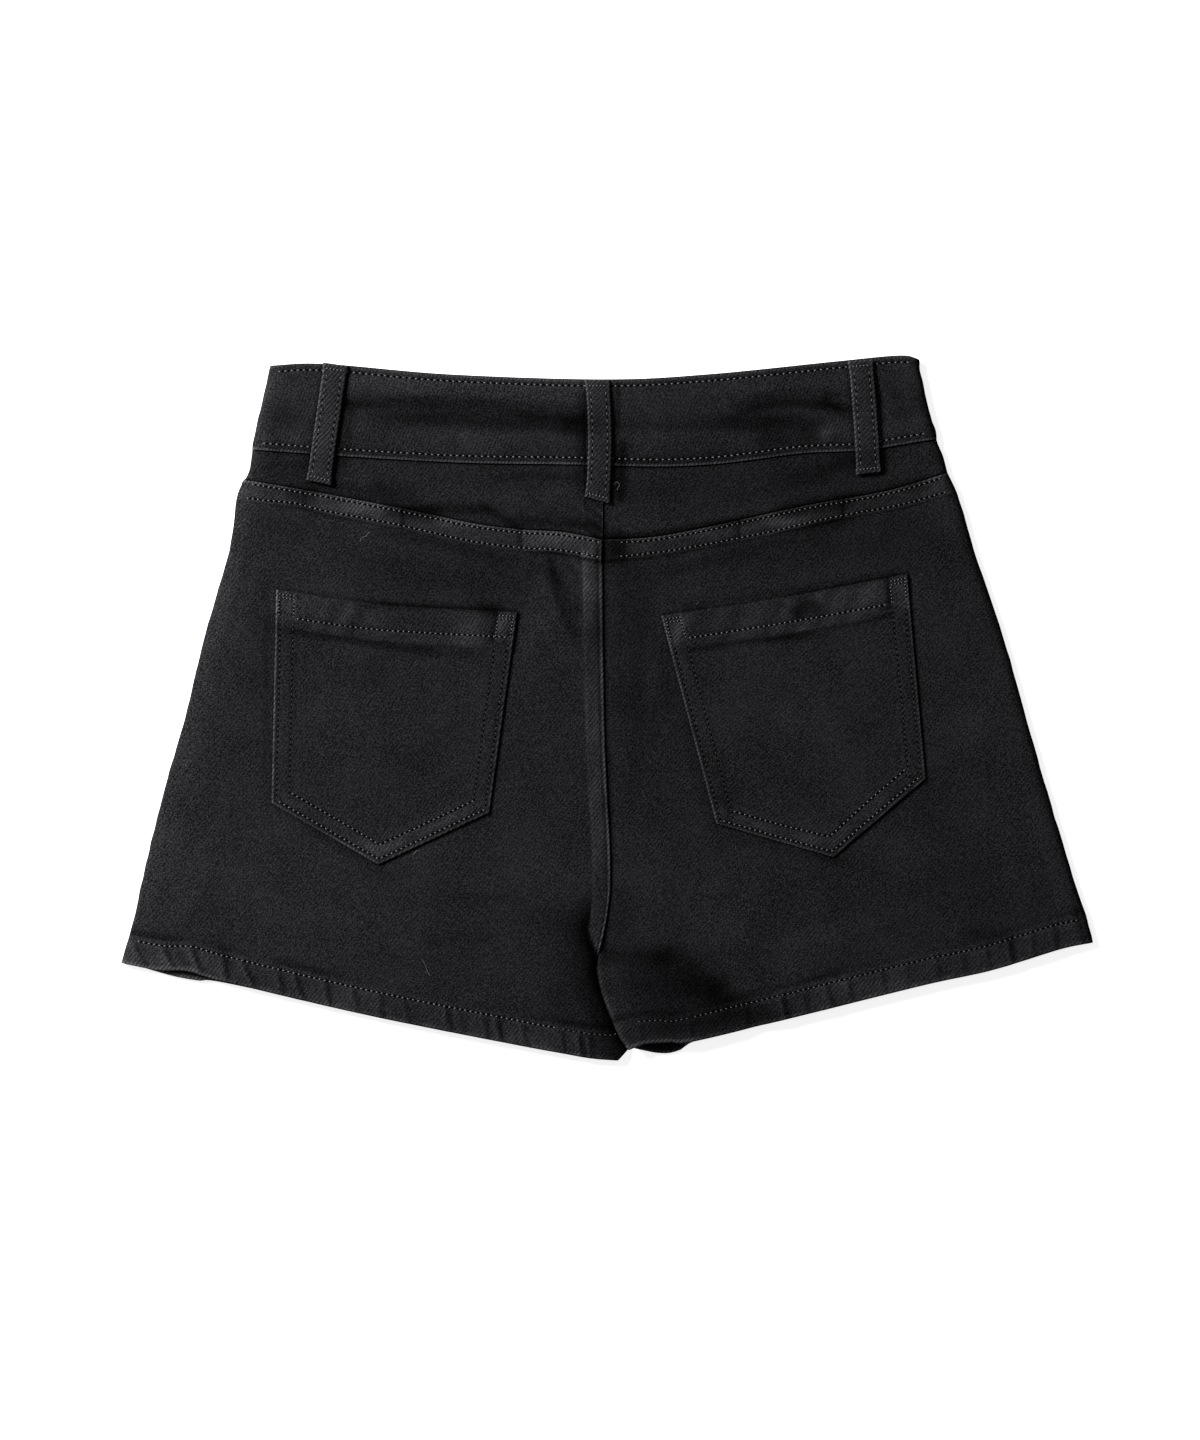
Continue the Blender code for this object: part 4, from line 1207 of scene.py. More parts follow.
class LaidCloth(SeenCloth):
    """A piece that lies on the back, such as a pocket."""

    def skin(self, station, rows):
        shares, offsets = rows
        down = shares + offsets / self.outline.height(station.share)
        across = station.share + station.offset / self.outline.width(down)
        x, y = self.outline.at(across, down).T
        width = self.outline.width(down)
        height = self.outline.height(across)
        left, right = across * width, (1 - across) * width
        top, bottom = down * height, (1 - down) * height
        bottom = bottom * self.foot_slope(x)
        rise, wear_and_painted_light = self.relief(x, y, left, right, top, bottom)
        ground = cloth_top(x, y, self.side) + POCKET_LIFT
        outer = np.stack([x, y, ground + DENIM + rise], axis=1)
        return outer, np.stack([x, y, ground], axis=1), wear_and_painted_light

    def foot_slope(self, x):
        """Turns the height over the slanted foot into the distance from it."""
        points = self.outline.bottom.points
        middle = 0.5 * (points[1:, 0] + points[:-1, 0])
        steps = np.diff(points, axis=0)
        length = np.linalg.norm(steps, axis=1)
        keep = length > 1e-6
        return np.interp(x, middle[keep], np.abs(steps[keep, 0]) / length[keep])


class LoopCloth:
    """A belt loop: a narrow strip that arches a little over the waistband."""

    def __init__(self, name):
        head, foot, self.sway, self.slant = LOOPS[name]
        self.head = np.array(head)
        self.foot = np.array(foot)
        self.length = np.linalg.norm(self.foot - self.head)
        down = (self.foot - self.head) / self.length
        self.across = np.array([-down[1], down[0]])
        waist = Line(WAIST_SEAM).points
        self.seam_y = float(np.interp(self.head[0], waist[:, 0], waist[:, 1]))

    def skin(self, station, rows):
        """The station's share runs across, and the rows' shares run down."""
        share = rows[0]
        middle = self.head + (self.foot - self.head) * share[:, None]
        side = (station.share - 0.5) * LOOP_WIDTH
        flared = side * (1.0 + LOOP_FLARE / LOOP_WIDTH * smooth((np.abs(share - 0.5) - 0.4) / 0.1))
        x, y = (middle + self.across * flared[:, None]).T
        x = x + self.sway * 4.0 * share * (1.0 - share)
        y = y + self.slant * side * smooth((share - 0.8) / 0.2)
        run = np.array(LOOP_RUN)
        bow = np.interp(share, run[:, 0], run[:, 1])
        flat = EDGE_TOP + AIR + WAISTBAND_PROUD
        under = cloth_top(middle[:, 0], middle[:, 1], side_of(middle[0, 0]))
        ground = np.maximum(flat, under + WAISTBAND_PROUD) + SEAM_GAP + bow
        off_band = smooth((self.seam_y - 1.5 - middle[:, 1]) / 12.0)
        edge = LOOP_WIDTH / 2.0 - abs(side)
        arch = 0.25 * (1.0 - 4.0 * (station.share - 0.5) ** 2)
        ground = ground + arch - 0.15 * off_band
        end = np.minimum(share, 1.0 - share) * self.length
        rise = -0.8 * quarter_round(edge, 1.2) - 0.5 * quarter_round(end, 0.9)
        rise = rise + groove(edge, 2.1, 0.25) + 0.12 * SEAM_WAVE.at(y * 1.3, x)
        # A painted highlight along the loop's edges, fainter on the right side of the left and
        # centre loops, which faces away from the light; the ends rubbed lighter
        rim = 0.15 if side > 0.0 and self.head[0] < 100.0 else 0.6
        wear_and_painted_light = 0.1 + rim * bell(edge - 0.4, 0.7) + 0.5 * np.exp(-end / 1.2)
        outer = np.stack([x, y, ground + LOOP_CLOTH + rise], axis=1)
        return outer, np.stack([x, y, ground], axis=1), wear_and_painted_light

    def point(self, share, offset, down_share, down_offset):
        rows = np.array([down_share + down_offset / self.length]), np.array([0.0])
        return self.skin(Station("top", share + offset / LOOP_WIDTH), rows)[0][0]


def stations(length, near_first, near_last, cell):
    """Grid stations along a length: close together near its ends, a cell apart between."""
    first = near_first[-1]
    last = near_last[-1]
    count = max(2, round((length - first - last) / cell))
    rows = [(0.0, offset) for offset in near_first[:-1]]
    for share in np.linspace(0.0, 1.0, count + 1):
        rows.append((share, first * (1.0 - share) - last * share))
    return rows + [(1.0, -offset) for offset in near_last[:-1][::-1]]


def close_rows(reach, step):
    """Offsets from an edge: its round first, then a step apart up to the reach."""
    return [0.0, 0.25, 0.6, *np.arange(1.0, reach, step), reach]


# ---------------------------------------------------------------- meshes


def cloth_object(name, cloth, columns, rows, material, shade=1.0):
    """A closed wall: a grid laid on the outer face, then extruded to the inner face."""
    rows = np.array([row[0] for row in rows]), np.array([row[1] for row in rows])
    faces = [cloth.skin(column, rows) for column in columns]
    outer = np.stack([face[0] for face in faces])
    inner = np.stack([face[1] for face in faces])
    wear_and_painted_light = np.stack([face[2] for face in faces])
    # Above 0 this value is wear and painted highlight; below 0 it is painted shade, which goes to
    # the dark attribute
    wear_and_painted_light = np.clip(wear_and_painted_light + rubbed(outer[..., 0], outer[..., 1]), -3.0, 1.0)
    # The painted shade: the table's, scaled by the shade argument, with the part of the value
    # below 0
    dark = shade * shaded(outer[..., 0], outer[..., 1]) + np.maximum(-wear_and_painted_light, 0.0)
    wear_and_painted_light = np.maximum(wear_and_painted_light, 0.0)
    bm = bmesh.new()
    count_x = len(columns)
    count_y = len(rows[0])
    bmesh.ops.create_grid(bm, x_segments=count_x - 1, y_segments=count_y - 1, size=1.0)
    column_of = bm.verts.layers.int.new("column")
    row_of = bm.verts.layers.int.new("row")
    wear_and_painted_light_of = bm.verts.layers.float.new("wear_and_painted_light")
    painted_shade_of = bm.verts.layers.float.new("dark")
    for vert in bm.verts:
        column = round((vert.co.x + 1.0) / 2.0 * (count_x - 1))
        row = round((1.0 - vert.co.y) / 2.0 * (count_y - 1))
        vert[column_of] = column
        vert[row_of] = row
        vert[wear_and_painted_light_of] = wear_and_painted_light[column, row]
        vert[painted_shade_of] = dark[column, row]
    first = list(bm.verts)
    made = bmesh.ops.extrude_face_region(bm, geom=list(bm.faces))
    second = [item for item in made["geom"] if isinstance(item, bmesh.types.BMVert)]
    for verts, points in ((first, outer), (second, inner)):
        for vert in verts:
            vert.co = points[vert[column_of], vert[row_of]] * MM
    bmesh.ops.recalc_face_normals(bm, faces=bm.faces)
    return finished(name, bm, material)


def finished(name, bm, material, smooth_angle=60.0):
    """The mesh object of a bmesh, shaded smooth, riding on the garment."""
    mesh = bpy.data.meshes.new(name)
    bm.to_mesh(mesh)
    bm.free()
    mesh.materials.append(material)
    mesh.shade_smooth()
    mesh.set_sharp_from_angle(angle=math.radians(smooth_angle))
    obj = bpy.data.objects.new(name, mesh)
    bpy.context.scene.collection.objects.link(obj)
    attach(obj, "root")
    return obj


def declare(node, area):
    """Hide the solid that a cloth piece stands for. The cut of its cloth, in metres, is not used.
    """
    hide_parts(node)


# ---------------------------------------------------------------- stitches


def sewn_row(route, pitch, start=0.6):
    """Middles and directions of the stitches along a route of surface points."""
    route = np.array(route)
    lengths = np.linalg.norm(np.diff(route, axis=0), axis=1)
    reach = np.concatenate([[0.0], np.cumsum(lengths)])
    places = np.arange(start + pitch / 2.0, reach[-1] - start, pitch)
    half = 0.26 * pitch

    def along(at):
        return np.stack([np.interp(at, reach, route[:, axis]) for axis in range(3)], axis=1)

    return along(places), along(places + half) - along(places - half)


def add_grains(bm, middles, runs, size, lift):
    """Small rounded grains along their runs: the size is half length, width and height."""
    for middle, run in zip(middles, runs):
        turn = Vector(run).to_track_quat("X", "Z").to_matrix().to_4x4()
        place = Matrix.Translation(Vector(middle) + Vector((0.0, 0.0, lift)))
        matrix = Matrix.Scale(MM, 4) @ place @ turn @ Matrix.Diagonal((*size, 1.0))
        bmesh.ops.create_icosphere(bm, subdivisions=1, radius=1.0, matrix=matrix)


def places_along(run, count):
    """This many (share, offset) pairs from the first pair of a run to the second."""
    (share_a, off_a), (share_b, off_b) = run
    for part in np.linspace(0.0, 1.0, count):
        yield share_a + (share_b - share_a) * part, off_a + (off_b - off_a) * part


def row_on(cloth, fixed, run, count=60):
    """Surface points along a row of a piece: fixed is a (share, offset) pair, and so are both
    ends of the run. The fixed offset may be a function of x, for a row that wanders.
    """
    down, below = fixed
    points = []
    for share, offset in places_along(run, count):
        drop = below(cloth.point(share, offset, down, 0.0)[0]) if callable(below) else below
        points.append(cloth.point(share, offset, down, drop))
    return points


def column_on(cloth, fixed, run, count=60):
    """The same down a column."""
    return [cloth.point(*fixed, share, offset) for share, offset in places_along(run, count)]


# ---------------------------------------------------------------- materials

# A place with painted shade 1 is painted this many times darker
DARKENING = 2.9


class Wire:
    """A node's output socket that takes part in sums, as the value it carries."""

    def __init__(self, shader, socket):
        self.shader = shader
        self.socket = socket

    def maths(self, operation, *values):
        return self.shader.node("ShaderNodeMath", {"operation": operation}, values)

    def __add__(self, other):
        return self.maths("ADD", self, other)

    def __radd__(self, other):
        return self.maths("ADD", other, self)

    def __sub__(self, other):
        return self.maths("SUBTRACT", self, other)

    def __rsub__(self, other):
        return self.maths("SUBTRACT", other, self)

    def __mul__(self, other):
        return self.maths("MULTIPLY", self, other)

    def __rmul__(self, other):
        return self.maths("MULTIPLY", other, self)

    def __rpow__(self, other):
        return self.maths("POWER", other, self)

    def sine(self):
        return self.maths("SINE", self)

    def clamped(self, low, high):
        return self.maths("MINIMUM", self.maths("MAXIMUM", self, low), high)


class Finish:
    """A material's node tree, with one method that adds any node."""

    def __init__(self, name):
        self.material = bpy.data.materials.new(name)
        self.material.use_nodes = True
        self.tree = self.material.node_tree
        self.principled = self.tree.nodes["Principled BSDF"]

    def node(self, kind, settings=None, values=(), output=0):
        made = self.tree.nodes.new(kind)
        for name, value in (settings or {}).items():
            setattr(made, name, value)
        pairs = values.items() if isinstance(values, dict) else enumerate(values)
        for key, value in pairs:
            self.feed(made.inputs[key], value)
        return Wire(self, made.outputs[output])

    def feed(self, socket, value):
        if isinstance(value, Wire):
            self.tree.links.new(value.socket, socket)
        else:
            socket.default_value = value

    def place(self):
        return self.node("ShaderNodeTexCoord", output="Object")

    def noise(self, vector, scale, detail=2.0, roughness=0.5):
        values = {"Vector": vector, "Scale": scale, "Detail": detail, "Roughness": roughness}
        return self.node("ShaderNodeTexNoise", {}, values, "Fac")

    def mix(self, amount, first, second):
        settings = {"data_type": "RGBA", "blend_type": "MIX"}
        return self.node("ShaderNodeMix", settings, {0: amount, 6: first, 7: second}, 2)

    def ramp(self, value, low, high):
        """0 below low and 1 above high, eased between."""
        settings = {"interpolation_type": "SMOOTHSTEP"}
        return self.node("ShaderNodeMapRange", settings, (value, low, high, 0.0, 1.0))

    def bump(self, height, distance, strength):
        values = {"Height": height, "Distance": distance, "Strength": strength}
        self.feed(self.principled.inputs["Normal"], self.node("ShaderNodeBump", {}, values))

    def dress(self, **values):
        for name, value in values.items():
            self.feed(self.principled.inputs[name.replace("_", " ")], value)
        return self.material


def denim_finish(name, sizes, slant, ribs):
    """Black twill: diagonal wales, flecks of pale weft, faded mottling, rubbed edges with painted
    highlights, and painted shade.
    """
    finish = Finish(name)
    place = finish.place()
    x = finish.node("ShaderNodeSeparateXYZ", {}, (place,))
    y = Wire(finish, x.socket.node.outputs[1])
    place = finish.node("ShaderNodeMapping", {}, {"Vector": place, "Rotation": (0.6, 0.45, 0.3)})
    wander = finish.noise(place, 240.0, 1.0)
    turn = math.radians(slant)
    pitch = sizes.wale * MM
    across = x * (math.sin(turn) / pitch) - y * (math.cos(turn) / pitch)
    wale = 0.5 + 0.5 * ((across + 0.7 * wander) * (2.0 * math.pi)).sine()
    yarn = finish.ramp(finish.noise(place, sizes.yarn, 1.0, 0.6), 0.38, 0.64)
    grain = finish.ramp(finish.noise(place, 1.5 * sizes.yarn, 1.0, 0.6), 0.38, 0.64)
    mottle = finish.noise(place, 30.0, 1.0, 0.6)
    cloudy = finish.noise(place, 120.0, 3.0, 0.6)
    wear_and_painted_light = finish.node("ShaderNodeAttribute", {"attribute_name": "wear_and_painted_light"}, (), "Fac")
    ribbed = (ribs + 0.8 * wear_and_painted_light).clamped(0.0, 0.9)
    weave = (ribbed * wale + (1.0 - ribbed) * yarn) * (0.3 + 1.1 * grain)
    dark = (*[c * sizes.dark_yarn for c in sizes.colour], 1.0)
    light = (*[c * sizes.light_yarn for c in sizes.colour], 1.0)
    cloth = finish.mix((weave + (mottle - 0.5) * 0.36).clamped(0.0, 1.0), dark, light)
    fleck = finish.ramp(finish.noise(place, 1250.0, 1.0, 0.5), 0.70, 0.80)
    cloth = finish.mix(fleck * 0.5, cloth, (*sizes.fleck, 1.0))
    # Rubbed edges and painted highlights take the lighter colour
    patchy = wear_and_painted_light * (0.5 + 0.7 * wear_and_painted_light) * (0.3 + 0.9 * cloudy) * (0.2 + 1.6 * weave)
    cloth = finish.mix(patchy.clamped(0.0, 1.0) * 0.8, cloth, (*sizes.wear_and_painted_light_colour, 1.0))
    # The dark attribute is painted shade, which darkens the cloth's colour
    painted_shade_value = finish.node("ShaderNodeAttribute", {"attribute_name": "dark"}, (), "Fac")
    painted_shade_factor = DARKENING ** (0.0 - painted_shade_value)
    cloth = finish.node("ShaderNodeVectorMath", {"operation": "SCALE"}, {0: cloth, 3: painted_shade_factor})
    finish.bump(weave + 0.1 * cloudy, 0.00012, 0.6)
    return finish.dress(Base_Color=cloth, Roughness=0.95, Specular_IOR_Level=0.0)


def thread_finish(name, sizes, shade):
    """Twisted sewing thread, a little glossier and lighter than the cloth; its shade paints in the
    light on its rows.
    """
    finish = Finish(name)
    place = finish.place()
    twist = finish.noise(place, 1600.0, 1.0)
    dark = (*[c * shade * 0.6 for c in sizes.thread_colour], 1.0)
    light = (*[c * shade * 1.4 for c in sizes.thread_colour], 1.0)
    colour = finish.mix(twist, dark, light)
    finish.bump(twist, 0.0001, 0.5)
    return finish.dress(Base_Color=colour, Roughness=0.6, Specular_IOR_Level=0.4)


def hole_shadow_finish(name):
    """A black painted shadow for the inside of a needle's hole."""
    finish = Finish(name)
    black = (0.0004, 0.0004, 0.0004, 1.0)
    return finish.dress(Base_Color=black, Roughness=1.0, Specular_IOR_Level=0.0)


def floor_finish(colour, glow):
    """White acrylic lit from below, so that it shows hardly a shadow."""
    finish = Finish("white light table")
    grain = finish.noise(finish.place(), 3.0, 2.0)
    dim = (*[c * 0.995 for c in colour], 1.0)
    shade = finish.mix(grain, dim, (*colour, 1.0))
    finish.dress(Emission_Color=(1.0, 1.0, 1.0, 1.0), Emission_Strength=glow)
    return finish.dress(Base_Color=shade, Roughness=0.9, Specular_IOR_Level=0.1)


def shared(name, make):
    """The material of this name, made the first time it is asked for."""
    return bpy.data.materials.get(name) or make()


def denim(name="black denim", slant=52.0, ribs=0.26):
    sizes = bpy.context.scene.skort_cloth
    return shared(name, lambda: denim_finish(name, sizes, slant, ribs))


# One copy of the thread for each shade, which stands for the light and shade on its rows
def thread(shade):
    sizes = bpy.context.scene.skort_cloth
    name = f"sewing thread, {round(100 * shade)}"
    return shared(name, lambda: thread_finish(name, sizes, shade))


def needle_hole_shadow():
    return shared("painted needle hole shadow", lambda: hole_shadow_finish("painted needle hole shadow"))


# ---------------------------------------------------------------- settings

# The softbox stands here, and the floor lies this high, in metres
KEY_PLACE = (-1.25, 0.85, 1.12)
FLOOR_Z = -0.0002


class SkortCloth(bpy.types.PropertyGroup):
    """The cloth's look and how finely it is meshed."""

    colour: FloatVectorProperty(
        name="Cloth", description="Black denim", subtype="COLOR", default=(0.0104, 0.0105, 0.0115)
    )
    fleck: FloatVectorProperty(
        name="Flecks", description="Pale weft yarn", subtype="COLOR", default=(0.075, 0.076, 0.08)
    )
    # The colour of rubbed edges, which the painted highlights share
    wear_and_painted_light_colour: FloatVectorProperty(
        name="Rubbed", description="Rubbed edges", subtype="COLOR", default=(0.088, 0.088, 0.094)
    )
    thread_colour: FloatVectorProperty(
        name="Thread", description="Sewing thread", subtype="COLOR", default=(0.24, 0.24, 0.25)
    )
    dark_yarn: FloatProperty(name="Dark yarn", description="Shade of the warp", default=0.28)
    light_yarn: FloatProperty(name="Light yarn", description="Shade of the weft", default=2.4)
    wale: FloatProperty(name="Wale", description="Distance between wales, mm", default=1.8)
    yarn: FloatProperty(name="Yarn", description="Yarn unevenness, per metre", default=1280.0)
    cell: FloatProperty(name="Cell", description="Size of a mesh cell, mm", default=1.5)


class SkortSewing(bpy.types.PropertyGroup):
    """Stitch sizes."""

    pitch: FloatProperty(name="Stitch", description="Stitch length, mm", default=2.87)
    waist_pitch: FloatProperty(name="Waistband stitch", description="Length, mm", default=3.36)
    loop_pitch: FloatProperty(name="Loop stitch", description="Length, mm", default=3.7)
    thick: FloatProperty(name="Thread", description="Thread thickness, mm", default=0.62)


class SkortStudio(bpy.types.PropertyGroup):
    """Camera, light and floor."""

    distance: FloatProperty(name="Camera height", default=1.8364, unit="LENGTH")
    lens: FloatProperty(name="Lens", description="Focal length, mm", default=85.0)
    centre_x: FloatProperty(name="View centre X", default=-0.0035, unit="LENGTH")
    centre_y: FloatProperty(name="View centre Y", default=-0.0062, unit="LENGTH")
    key: FloatProperty(name="Key light", description="Power, watts", default=74.0)
    softness: FloatProperty(name="Softbox", description="Its side", default=0.6, unit="LENGTH")
    fill: FloatProperty(name="World light", description="Strength", default=0.16)
    floor: FloatVectorProperty(name="Floor", subtype="COLOR", default=(0.93, 0.93, 0.93))
    glow: FloatProperty(name="Floor glow", description="Light from below", default=0.78)


# ---------------------------------------------------------------- operators


def fold_stations(place):
    """Stations round a side fold, from under the garment to its top."""
    columns = [Station(place, float(turn)) for turn in FOLD_TURNS]
    return columns if place == "left" else columns[::-1]


def left_edge():
    """Stations from the left side seam, under the garment, round to its top."""
    return [Station("under", 0.0, SIDE_SEAM_UNDER), *fold_stations("left")]


def right_edge():
    """Stations from the top round to the right side seam."""
    return [*fold_stations("right"), Station("under", 1.0, -SIDE_SEAM_UNDER)]


def top_stations(pairs):
    return [Station("top", share, offset) for share, offset in pairs]


def hem_depth(bottom):
    """How far the turned hem hangs below the plain cloth's inner face."""
    return HEM_PROUD * turned_hem(bottom)


def waistband_cloth():
    return BackCloth(WAIST, 0, waistband_relief, under_drop=front_drop)


def yoke_cloths():
    return (
        BackCloth(YOKE_LEFT, -1, felled_yoke_relief),
        BackCloth(YOKE_RIGHT, 1, right_yoke_relief),
    )


def leg_cloths():
    return (
        BackCloth(BACK_LEFT, -1, felled_leg_relief, deep=hem_depth),
        BackCloth(BACK_RIGHT, 1, right_leg_relief, deep=hem_depth),
    )


class SKORT_OT_waistband(bpy.types.Operator):
    """Lay the waistband, one strip whose ends meet under the garment"""

    bl_idname = "skort.waistband"
    bl_label = "Waistband"

    def execute(self, context):
        cell = context.scene.skort_cloth.cell
        under = np.linspace(0.0, WAIST_MEET, 20)[:-1]
        columns = [Station("under", WAIST_MEET, -SEAM_GAP / 2.0)]
        columns += [Station("under", share, WAIST_UNDER) for share in under[::-1]]
        columns += fold_stations("left")
        columns += top_stations(stations(WAIST.width(0.5), [5.0], [5.0], cell))
        columns += fold_stations("right")
        columns += [Station("under", 1.0 - share, -WAIST_UNDER) for share in under[:-1]]
        columns += [Station("under", WAIST_MEET, SEAM_GAP / 2.0)]
        rows = stations(WAISTBAND_DEEP, close_rows(5.0, 0.7), close_rows(6.0, 0.7), 1.3)
        rows[-1] = (1.0, -SEAM_GAP)
        material = denim("black denim, waistband", 66.0)
        obj = cloth_object("waistband_cloth", waistband_cloth(), columns, rows, material)
        declare("waistband", 0.0325)
        return {"FINISHED"}


def lay_pair(part, cloths, columns, rows, folded):
    """Lay a part's left and right pieces, which fold under at the garment's sides."""
    for side, cloth, own_columns in zip(("left", "right"), cloths, columns):
        name = f"{part}_{side}"
        obj = cloth_object(name + "_cloth", cloth, own_columns, rows, denim())
        area = cloth.outline.area() * MM * MM * folded
        declare(name, area)


class SKORT_OT_yokes(bpy.types.Operator):
    """Lay the two halves of the back yoke"""

    bl_idname = "skort.yokes"
    bl_label = "Yokes"

    def execute(self, context):
        cell = context.scene.skort_cloth.cell
        rows = stations(YOKE_DEEP, TUCKED_ROWS, TUCKED_ROWS, 1.6)
        fell = close_rows(FELL_WIDTH + 2.0, 0.7)
        width = YOKE_LEFT.width(0.5)
        left = [*left_edge(), *top_stations(stations(width, [5.0], fell, cell))]
        right = [*top_stations(stations(width, TUCKED_ROWS, [5.0], cell)), *right_edge()]
        lay_pair("yoke", yoke_cloths(), (left, right), rows, YOKE_FOLDED)
        return {"FINISHED"}


class SKORT_OT_backs(bpy.types.Operator):
    """Lay the back of each leg, with its lapped yoke seam, felled seat seam and hem"""

    bl_idname = "skort.backs"
    bl_label = "Back panels"

    def execute(self, context):
        cell = context.scene.skort_cloth.cell
        width, depth = LEG_SIZE
        seam = close_rows(RIDGE_WIDTH + 3.0, 0.75)
        rows = stations(depth, seam, close_rows(HEM + 3.0, 0.9), cell)
        fell = close_rows(FELL_WIDTH + 2.0, 0.7)
        tucked = [*TUCKED_ROWS, 4.0, 5.0, 6.0]
        left = [*left_edge(), *top_stations(stations(width, [5.0], fell, cell))]
        right = [*top_stations(stations(width, tucked, [5.0], cell)), *right_edge()]
        lay_pair("back", leg_cloths(), (left, right), rows, LEG_FOLDED)
        return {"FINISHED"}


class SKORT_OT_pockets(bpy.types.Operator):
    """Lay the two patch pockets on the back panels"""

    bl_idname = "skort.pockets"
    bl_label = "Patch pockets"

    def execute(self, context):
        width, depth = POCKET_SIZE
        near = close_rows(POCKET_TURN + 1.5, 0.8)
        rows = stations(depth, close_rows(POCKET_MOUTH + 2.0, 0.9), near, 1.6)
        for name, corners in POCKETS.items():
            side = side_of(corners["point"][0])
            outline, turn = pocket_outline(name)
            cloth = LaidCloth(outline, side, pocket_relief)
            first = stations(width * turn, near, [0.0], 1.6)
            second = stations(width * (1.0 - turn), [0.0], near, 1.6)
            pairs = [(share * turn, offset) for share, offset in first]
            pairs += [(turn + share * (1.0 - turn), offset) for share, offset in second[1:]]
            columns = top_stations(pairs)
            slant = 56.0 if side < 0 else 44.0
            material = denim("black denim, " + name.replace("_", " "), slant)
            obj = cloth_object(name + "_cloth", cloth, columns, rows, material)
            area = outline.area() * MM * MM
            declare(name, area)
        return {"FINISHED"}


class SKORT_OT_loops(bpy.types.Operator):
    """Lay the three belt loops over the waistband"""

    bl_idname = "skort.loops"
    bl_label = "Belt loops"

    def execute(self, context):
        shares = [edge / LOOP_WIDTH for edge in (0.0, 0.2, 0.5, 0.9, 1.4, 2.1, 2.8, 4.0, 5.2)]
        shares += [0.5, *[1.0 - share for share in shares[::-1]]]
        for name in LOOPS:
            cloth = LoopCloth(name)
            rows = [(share, 0.0) for share in np.linspace(0.0, 1.0, 60)]
            rows[1:1] = [(0.004, 0.0), (0.010, 0.0)]
            rows[-1:-1] = [(0.990, 0.0), (0.996, 0.0)]
            columns = top_stations((share, 0.0) for share in shares)
            material = denim("black denim, belt loops", 48.0, 0.45)
            obj = cloth_object(name + "_cloth", cloth, columns, rows, material, 0.4)
            area = LOOP_WIDTH * cloth.length * MM * MM
            declare(name, area)
        return {"FINISHED"}


def side_seam(yoke, back, side, last=1.0):
    """The side seam, which lies under the garment, from the waist to near the hem."""
    points = []
    for outline, shares in ((yoke, (0.02, 0.5, 0.98)), (back, np.linspace(0.02, last, 12))):
        for down in shares:
            inset = (SIDE_SEAM_UNDER + UNDER_GAP) / outline.width(down)
            points.append(outline.at(inset if side < 0 else 1.0 - inset, down))
    return points


def front_waist(first, last, count):
    """The cut top of a front piece, along the lower edge of the waistband's front."""
    waist = Line(WAIST_SEAM)
    points = []
    for share in np.linspace(first, last, count):
        points.append(waist.at(share) - np.array([0.0, front_drop(share) + UNDER_GAP]))
    return points


def skirt_outline():
    """The apron, from the waistband to a hem above the legs' hems."""
    left = side_seam(YOKE_LEFT, BACK_LEFT, -1, SKIRT_SEAM_SHARE)
    right = side_seam(YOKE_RIGHT, BACK_RIGHT, 1, SKIRT_SEAM_SHARE)
    top = front_waist(0.03, 0.97, 11)
    hem = (left[-1], SKIRT_HEM_CENTRE, right[-1])
    return Outline(
        Line(top), Line(hem), Line([top[0], *left[1:]]), Line([top[-1], *right[1:]])
    )


class FrontCloth:
    """The front of a leg, plain, between the side seam and the centre front."""

    def __init__(self, side, skirt):
        self.side = side
        self.hem_of_skirt = skirt.bottom.points
        inseam = FRONT_INSEAM_LEFT if side < 0 else FRONT_INSEAM_RIGHT
        self.inner = Line(CENTRE_FRONT, inseam).moved(side * SEAM_GAP / 2.0)
        middle = self.inner.at(0.0)
        foot = self.inner.at(1.0)
        if side < 0:
            top = [*front_waist(0.03, 0.49, 7), middle]
            seam = [top[0], *side_seam(YOKE_LEFT, BACK_LEFT, side)[1:]]
            hem = [seam[-1], *FRONT_HEM_LEFT, foot]
            self.outline = Outline(Line(top), Line(hem), Line(seam), self.inner)
        else:
            top = [middle, *front_waist(0.55, 0.97, 7)]
            seam = [top[-1], *side_seam(YOKE_RIGHT, BACK_RIGHT, side)[1:]]
            hem = [foot, *FRONT_HEM_RIGHT, seam[-1]]
            self.outline = Outline(Line(top), Line(hem), self.inner, Line(seam))

    def skin(self, station, rows):
        shares, offsets = rows
        down = shares + offsets / self.outline.height(station.share)
        across = station.share + station.offset / self.outline.width(down)
        x, y = self.outline.at(across, down).T
        hem_y = np.interp(x, self.hem_of_skirt[:, 0], self.hem_of_skirt[:, 1])
        low = SKIRT_TOP * (1.0 - smooth((hem_y - SKIRT_CLEAR - y) / SKIRT_RAMP))
        if self.side > 0:
            curl = quarter_round(np.abs(x - self.inner.x_at(y)), CURL_WIDTH)
            low = low + CURL_RISE * curl * smooth((CROTCH[1] - 6.0 - y) / 10.0)
        bottom = (1.0 - down) * self.outline.height(station.share)
        hem = band(bottom, HEM - 0.6, 1.2)
        rope = HEM_ROPE.at(x + 0.7 * bottom, 9.0)
        turned = hem * (0.85 + 0.15 * rope) - 0.5 * quarter_round(bottom, 1.2)
        lower = np.stack([x, y, low + 0.4 * quarter_round(bottom, 1.0)], axis=1)
        upper = np.stack([x, y, low + DENIM + turned], axis=1)
        # A painted highlight along the hem's edge
        return lower, upper, 0.8 * bell(bottom - 0.7, 0.8)


